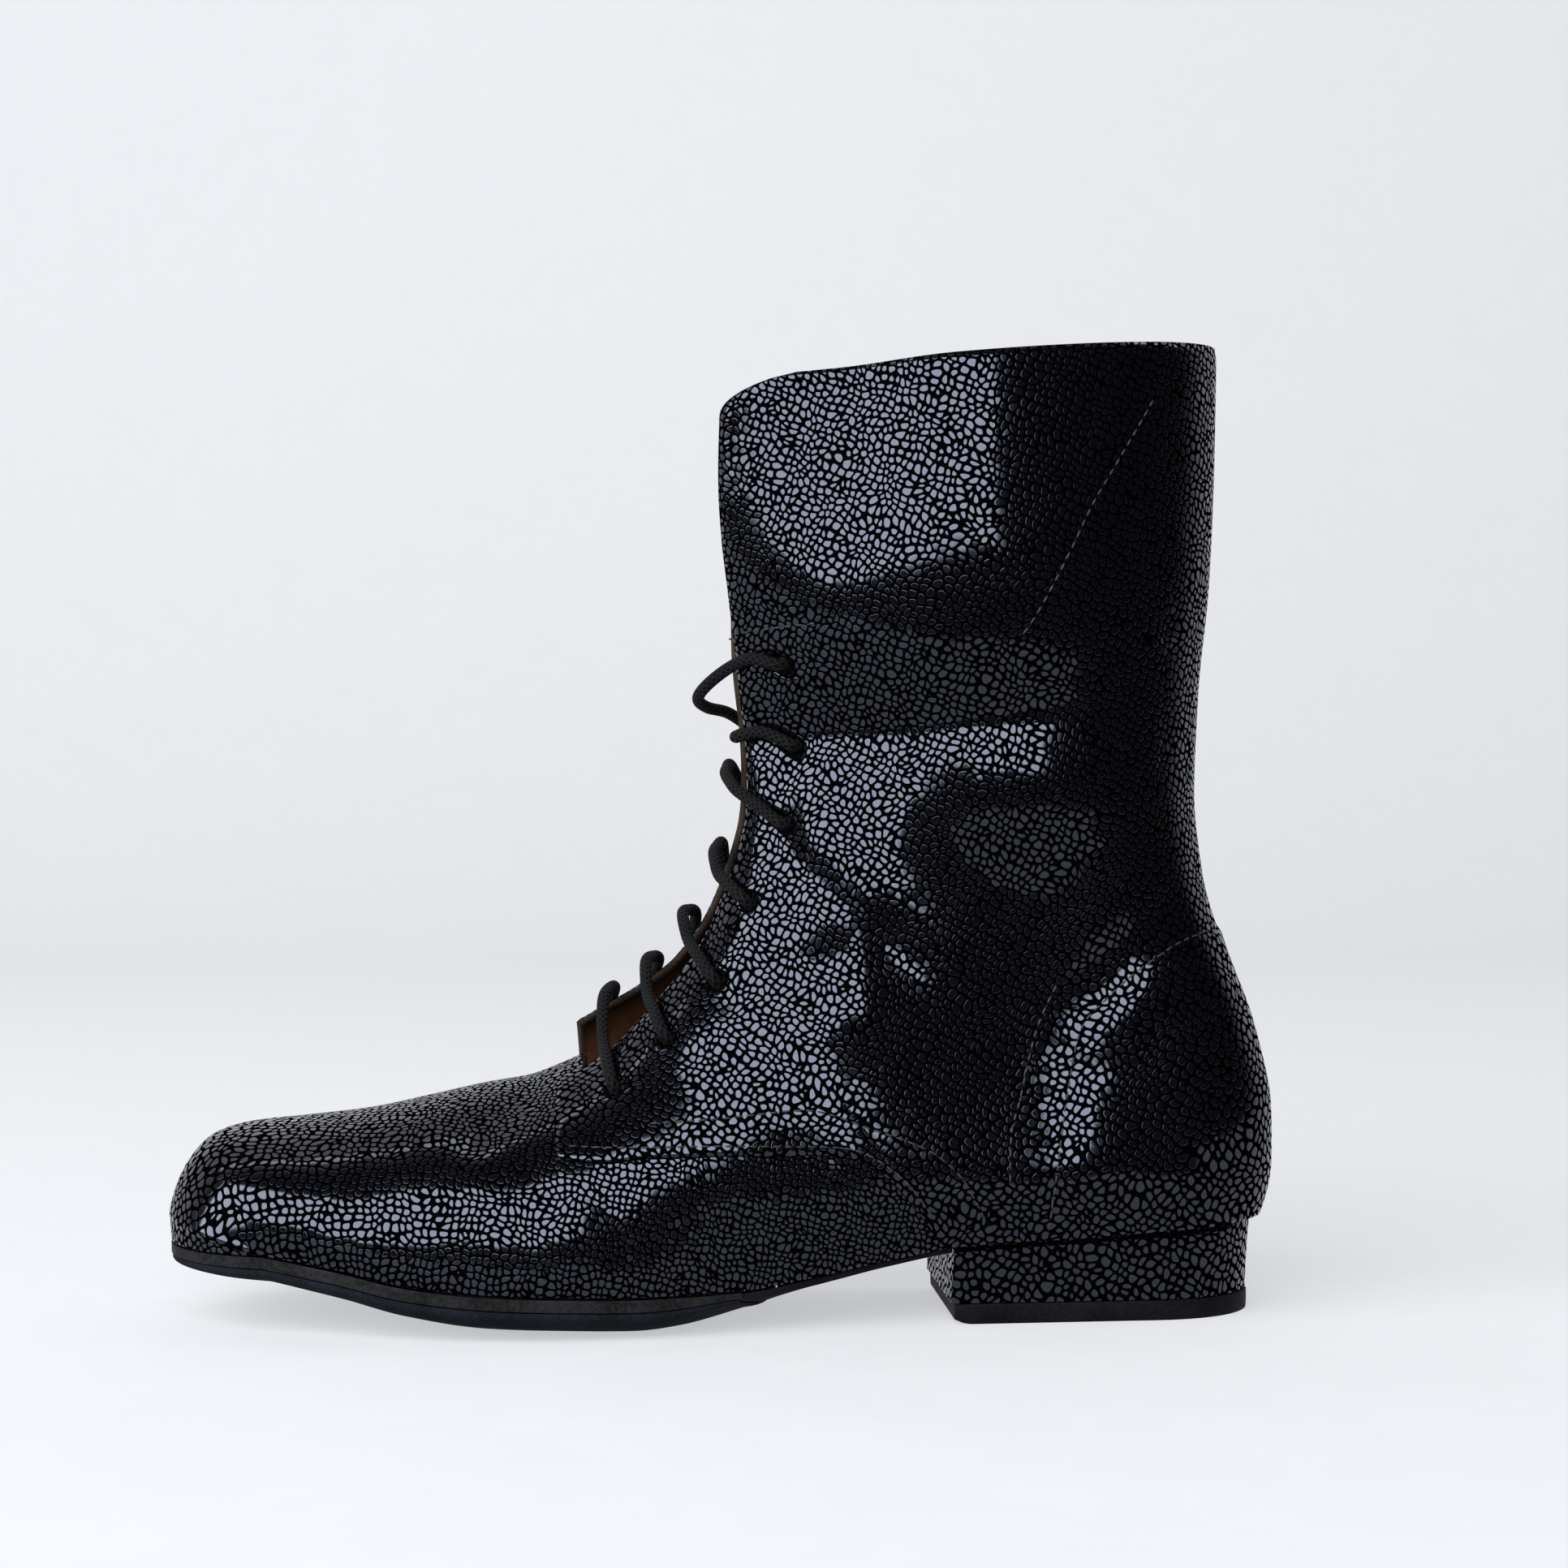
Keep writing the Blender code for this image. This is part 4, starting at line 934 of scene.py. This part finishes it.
# %% Points on the quarters
def skin_normal(row, angle, side):
    step = 0.05 if row < COLLAR_ROW - 0.05 else -0.05

    def at(r, a):
        section = Section(r)
        return section.place(a, side, section.flap_lift(a, side))

    here = at(row, angle)
    normal = (at(row + step, angle) - here).cross(at(row, angle + 0.01) - here).normalized()
    return normal * side * math.copysign(1, step)


def quarter_point(row, angle, side, outward):
    """Point at a distance outside the quarter's outer face."""
    section = Section(row)
    here = section.place(angle, side, section.flap_lift(angle, side))
    depth = float(fold_depth(*np.array(here).reshape(3, 1))[0])
    return here + skin_normal(row, angle, side) * (QUARTER_STEP + outward - depth)


def lace_hole(number, side, outward, towards_edge=0.0):
    """Point over or under an eyelet, or on the way to the flap's edge where towards_edge is 1."""
    _, x, z = EYELETS[number - 1]
    slide = LACE_SLIDE[side][number - 1] * towards_edge ** 2
    if slide:
        _, other_x, other_z = EYELETS[number - 1 + int(math.copysign(1, slide))]
        x += (other_x - x) * abs(slide)
        z += (other_z - z) * abs(slide)
    row, angle = spot(x, z, side)
    return quarter_point(row, angle + (Section(row).gap[side] - angle) * towards_edge, side, outward)


print("top eyelet at", [round(value, 1) for value in lace_hole(7, LATERAL, 0.0)])


# %% Stretches of the lace
def outside_stretch(start, end, bulge, droop):
    """Lace over both flaps' edges, from one eyelet to another on the far side."""
    ride = LACE_DIAMETER / 2 + 0.5
    points = [lace_hole(*start, ride * outward, share) for share, outward in LACE_CLIMB]
    far = [lace_hole(*end, ride * outward, share) for share, outward in LACE_CLIMB]
    out = (points[-1] - points[0]).normalized() + (far[-1] - far[0]).normalized()
    for number, side in (start, end):
        out += skin_normal(*spot(*EYELETS[number - 1][1:], side), side)
    out.normalize()
    move = out * bulge - Vector((0, 0, droop))
    arch = LACE_ARCH
    if bulge < 0:
        far = [lace_hole(*end, outward) for outward in LACE_END]
        arch = LACE_DIP
    middle = [points[-1].lerp(far[-1], share) + move * lift for share, lift in arch]
    return points + middle + far[::-1]


def inside_stretch(side, start, end, shift):
    """Lace under one flap from an eyelet to another."""
    depth = -(QUARTER_WALL + LACE_DIAMETER / 2 + 0.7)
    first, last = EYELETS[start - 1], EYELETS[end - 1]
    points = [lace_hole(start, side, depth * 0.75)]
    for share in (0.18, 0.5, 0.82):
        x = first[1] + (last[1] - first[1]) * share
        z = first[2] + (last[2] - first[2]) * share
        row, angle = spot(x, z, side)
        points.append(quarter_point(row, angle + shift * math.sin(math.pi * share), side, depth - 0.4))
    return points + [lace_hole(end, side, depth * 0.75)]


route = []
for step, (start, end, bulge, droop) in enumerate(LACE_BARS):
    if step:
        number, side = LACE_BARS[step - 1][1]
        route += inside_stretch(side, number, start[0], LACE_SHIFT[step - 1])
    route += outside_stretch(start, end, bulge, droop)
route.insert(0, lace_hole(*LACE_BARS[0][0], -(QUARTER_WALL + 2.4)))
print("route points:", len(route))


# %% Smooth route
def rounded(points, spacing):
    """Smooth way through the points, with even spacing."""
    dense = []
    ring = [points[0]] + points + [points[-1]]
    for a, b, c, d in zip(ring, ring[1:], ring[2:], ring[3:]):
        for i in range(12):
            t = i / 12
            dense.append(0.5 * (2 * b + (c - a) * t + (2 * a - 5 * b + 4 * c - d) * t ** 2
                                + (3 * b - a - 3 * c + d) * t ** 3))
    dense.append(points[-1])
    steps = np.array([0.0] + [(q - p).length for p, q in zip(dense, dense[1:])]).cumsum()
    count = int(steps[-1] / spacing)
    at = np.linspace(0, steps[-1], count)
    axes = [np.interp(at, steps, [point[axis] for point in dense]) for axis in range(3)]
    return [Vector(point) for point in zip(*axes)], float(steps[-1])


lace_way, lace_length = rounded(route, 0.8)
print("lace length:", round(lace_length), "mm")


# %% Braid
# Strands round the cord, turns per millimetre along it, and relief in millimetres.
BRAID_STRANDS, BRAID_TURNS, BRAID_RELIEF = 5.0, 0.5, 0.35


def braided_cord(name):
    finish, tree, shader = new_finish(name)
    flat = node(tree, "ShaderNodeUVMap", uv_map="braid").outputs["UV"]
    parts = node(tree, "ShaderNodeSeparateXYZ", {0: flat})
    along, round_cord = parts.outputs[0], parts.outputs[1]
    waves = []
    for hand in (1, -1):
        lay = maths(tree, "MULTIPLY", along, BRAID_TURNS)
        slant = maths(tree, "MULTIPLY_ADD", round_cord, BRAID_STRANDS * hand, lay)
        waves.append(maths(tree, "SINE", maths(tree, "MULTIPLY", slant, 2 * math.pi)))
    relief = maths(tree, "MAXIMUM", waves[0], waves[1])
    shadow = ramp(tree, relief, -0.2, 0.9)
    tree.links.new(mix_colour(tree, shadow, (0.0003, 0.0003, 0.0004, 1), (0.0040, 0.0040, 0.0046, 1)),
                   shader.inputs["Base Color"])
    shader.inputs["Roughness"].default_value = 0.75
    shader.inputs["Specular IOR Level"].default_value = 0.1
    bump(tree, shader, relief, BRAID_RELIEF)
    return finish


lace_braid = braided_cord("lace_braid")
print("finish made:", lace_braid.name)


# %% Rolled lace
def rolled_cord(name, way, radius, finish, sides=18):
    bm = bmesh.new()
    bmesh.ops.create_grid(bm, x_segments=len(way) - 1, y_segments=sides, size=1.0)
    layer = bm.loops.layers.uv.new("braid")
    for face in bm.faces:
        for loop in face.loops:
            share = (loop.vert.co.x + 1) / 2
            loop[layer].uv = (share * lace_length, (loop.vert.co.y + 1) / 2)
    frames = []
    across_way = Vector((0, 0, 1))
    for i in range(len(way)):
        ahead = (way[min(i + 1, len(way) - 1)] - way[max(i - 1, 0)]).normalized()
        across_way = (across_way - ahead * across_way.dot(ahead)).normalized()
        frames.append((way[i], across_way.copy(), ahead.cross(across_way)))
    for vert in bm.verts:
        middle, first, second = frames[round((vert.co.x + 1) / 2 * (len(way) - 1))]
        turn = (vert.co.y + 1) * math.pi
        vert.co = middle + (first * math.cos(turn) + second * math.sin(turn)) * radius
    bmesh.ops.remove_doubles(bm, verts=bm.verts, dist=0.001)
    bmesh.ops.holes_fill(bm, edges=[edge for edge in bm.edges if edge.is_boundary], sides=0)
    bmesh.ops.recalc_face_normals(bm, faces=bm.faces)
    return finish_piece(name, bm, (finish,))


lace = rolled_cord("braided_lace", lace_way, LACE_DIAMETER / 2, lace_braid)
print("lace faces:", len(lace.data.polygons))

# %% [markdown]
# ## Stitching
#
# The quarters are sewn to the vamp with two rows, and rows follow the counter, the facing and the
# shaft. A line in the leather's pattern could stand for a row. Here each stitch is a small sphere
# stretched along its row and laid on the leather, because that also reads in the mesh itself.

# %% Rows of stitches
# Side-view points of each row: x, z.
STITCH_ROWS = {
    "edge": ((-41, 45.4), (-24, 45.9), (-6, 46.9), (14, 46.9), (29, 46.3), (37.5, 42.6), (44.8, 36.4),
             (50, 29.4)),
    "second": ((-20.7, 51.6), (-3.7, 53.5), (16.5, 55.8), (24.4, 54.8), (32.2, 52), (47.8, 46.4),
               (55.8, 40.8), (59.7, 35.5), (63.6, 28.3)),
    "counter": ((79.8, 25.2), (82.5, 43.9), (85.4, 59.4), (89.2, 75.5), (95.9, 83), (102.6, 89),
                (114.6, 97), (124.4, 99.9)),
    "counter_front": ((69.8, 37.2), (70.5, 49.7), (72.8, 56.9), (76.9, 73.1), (79.4, 79.7), (83.1, 87.1)),
    "facing": ((1.8, 176.7), (11, 177.8), (21.7, 178.6)),
    "shaft": ((72, 175), (76.6, 182.4), (84, 196.9), (89.5, 208), (94.1, 215.4), (106.5, 235.6)),
}
STITCH_PITCH, STITCH_LENGTH, STITCH_THICK, STITCH_RISE = 2.9, 2.3, 0.55, 0.08


def add_stitches(bm, points, side):
    corners = [quarter_point(*spot(x, z, side), side, 0.0) for x, z in points]
    way, length = rounded(corners, STITCH_PITCH)
    for here, ahead in zip(way, way[1:]):
        middle, normal, _, _ = quarter_skin.find_nearest((here + ahead) / 2)
        along = (ahead - here).normalized()
        sideways = normal.cross(along).normalized()
        turn = Matrix((along, sideways, along.cross(sideways))).transposed().to_4x4()
        size = Matrix.Diagonal((STITCH_LENGTH / 2, STITCH_THICK / 2, STITCH_THICK / 2, 1))
        place = Matrix.Translation(middle + normal * STITCH_RISE) @ turn @ size
        bmesh.ops.create_uvsphere(bm, u_segments=8, v_segments=5, radius=1.0, matrix=place)
    return length


bm = bmesh.new()
sewn = 0.0
for points in STITCH_ROWS.values():
    for side in (LATERAL, MEDIAL):
        sewn += add_stitches(bm, points, side)
stitches = finish_piece("stitches", bm, (stitch_thread,))
print("sewn length:", round(sewn), "mm")

# %% [markdown]
# ## Studio
#
# A pale floor runs up into a backdrop, so that no horizon shows. One large soft box stands left of the
# camera and gives the pebbles their bright patches; the room behind the camera stays dark, and the rest
# is pale. A lamp that made the floor this light would also grey the leather, so the paper has a low
# glow of its own.

# %% Floor
# Half width, front edge, start of the bend, its radius, and length of the paper, in metres.
FLOOR_REACH, FRONT_Y, BACK_Y, BEND, PAPER_LENGTH = 3.0, -0.40, 1.5, 0.7, 5.5
FLOOR_GLOW, COOL_WHITE = 0.52, (0.96, 0.97, 1.0)


def studio_floor():
    finish = mottled("studio_paper", (0.225, 0.226, 0.232), (0.235, 0.236, 0.242), 0.9, 40, 0.0)
    glow = finish.node_tree.nodes["Principled BSDF"].inputs
    glow["Emission Color"].default_value = (*COOL_WHITE, 1)
    glow["Emission Strength"].default_value = FLOOR_GLOW
    bm = bmesh.new()
    bmesh.ops.create_grid(bm, x_segments=8, y_segments=120, size=1.0)
    for vert in bm.verts:
        x, way = vert.co.x * FLOOR_REACH, (vert.co.y + 1) / 2 * PAPER_LENGTH + FRONT_Y
        turn = min(max((way - BACK_Y) / BEND, 0.0), math.pi / 2)
        rise = max(way - BACK_Y - BEND * math.pi / 2, 0.0)
        y = min(way, BACK_Y) + BEND * math.sin(turn)
        vert.co = (x / MM, y / MM, (BEND * (1 - math.cos(turn)) + rise) / MM)
    return finish_piece("studio_floor", bm, (finish,))


floor = studio_floor()
print("floor faces:", len(floor.data.polygons))

# %% Lights
# Soft lights: name, place, target, width, height, radiance, colour.
LIGHTS = (
    ("soft_box", (-0.90, -1.20, 1.16), (0, 0, 1.16), 3.5, 1.86, 8.0, (0.93, 0.96, 1.0)),
    ("backdrop_light", (0, 0.7, 2.1), (0, 2.2, 0.6), 4.0, 0.6, 2.5, COOL_WHITE),
)


def area_light(name, place, target, width, height, radiance, colour):
    """Rectangular soft light of an even radiance."""
    data = bpy.data.lights.new(name, "AREA")
    data.shape = "RECTANGLE"
    data.size, data.size_y = width, height
    data.energy = radiance * math.pi * width * height
    data.color = colour
    light = bpy.data.objects.new(name, data)
    light.location = place
    light.rotation_euler = (Vector(target) - Vector(place)).to_track_quat("-Z", "Y").to_euler()
    bpy.context.collection.objects.link(light)
    return light


for row in LIGHTS:
    print("light:", area_light(*row).name)

# %% Room
ROOM_DARK, ROOM_PALE, ROOM_SEEN = 0.02, 0.9, 0.85
world = bpy.data.worlds.new("studio_room")
bpy.context.scene.world = world
world.use_nodes = True
tree = world.node_tree
back = tree.nodes["Background"]
way = node(tree, "ShaderNodeTexCoord").outputs["Generated"]
depth = node(tree, "ShaderNodeSeparateXYZ", {0: way}).outputs[1]
room = ramp(tree, depth, -0.05, 0.50, ROOM_DARK, ROOM_PALE)
seen = node(tree, "ShaderNodeLightPath").outputs["Is Camera Ray"]
level = node(tree, "ShaderNodeMix", {0: seen, 2: room, 3: ROOM_SEEN}, data_type="FLOAT").outputs[0]
back.inputs["Color"].default_value = (*COOL_WHITE, 1)
tree.links.new(level, back.inputs["Strength"])
print("room made:", world.name)

# %% [markdown]
# ## Camera
#
# The photo was taken from the boot's outer side, almost square to it, with a long lens. A camera could
# be set by eye, but here its place, turn and focal length are sizes that were fitted to the boot's
# outline in the photo.

# %% Camera
bpy.context.scene.view_settings.view_transform = "Standard"
IMAGE_SIZE, FOCAL_PIXELS, SENSOR = 1932, 3588, 36.0
CAMERA_PLACE, YAW = (-34.9, -766, 137.8), math.radians(3.75)
camera = bpy.data.objects.new("camera", bpy.data.cameras.new("camera"))
camera.data.sensor_width = SENSOR
camera.data.lens = SENSOR * FOCAL_PIXELS / IMAGE_SIZE
camera.location = TO_FRAME @ Vector(CAMERA_PLACE)
camera.rotation_euler = (math.pi / 2, 0, -YAW)
bpy.context.collection.objects.link(camera)
bpy.context.scene.camera = camera
print("lens:", round(camera.data.lens, 1), "mm")

# %% [markdown]
# ## Hand the pieces to the frame
#
# Each piece moves with the boot's one body, and the solid that it stands for is hidden.

# %% Ride and replace
PIECES = (
    (vamp, ("upper",), "grained_leather"),
    (quarters, ("upper",), "grained_leather"),
    (stitches, (), "lace_braid"),
    (midsole, ("forefoot_midsole",), "midsole_rubber"),
    (outsole, ("forefoot_outsole",), "sole_suede"),
    (waist, ("waist_cover",), "sole_suede"),
    (heel, ("heel_block",), "grained_leather"),
    (top_piece, ("heel_top_piece",), "heel_rubber"),
    (insole, ("insole",), "insole_leather"),
    (lace, ("lace",), "lace_braid"),
)
for piece, solids, slot in PIECES:
    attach(piece, "root")
    if solids:
        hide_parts(*solids)
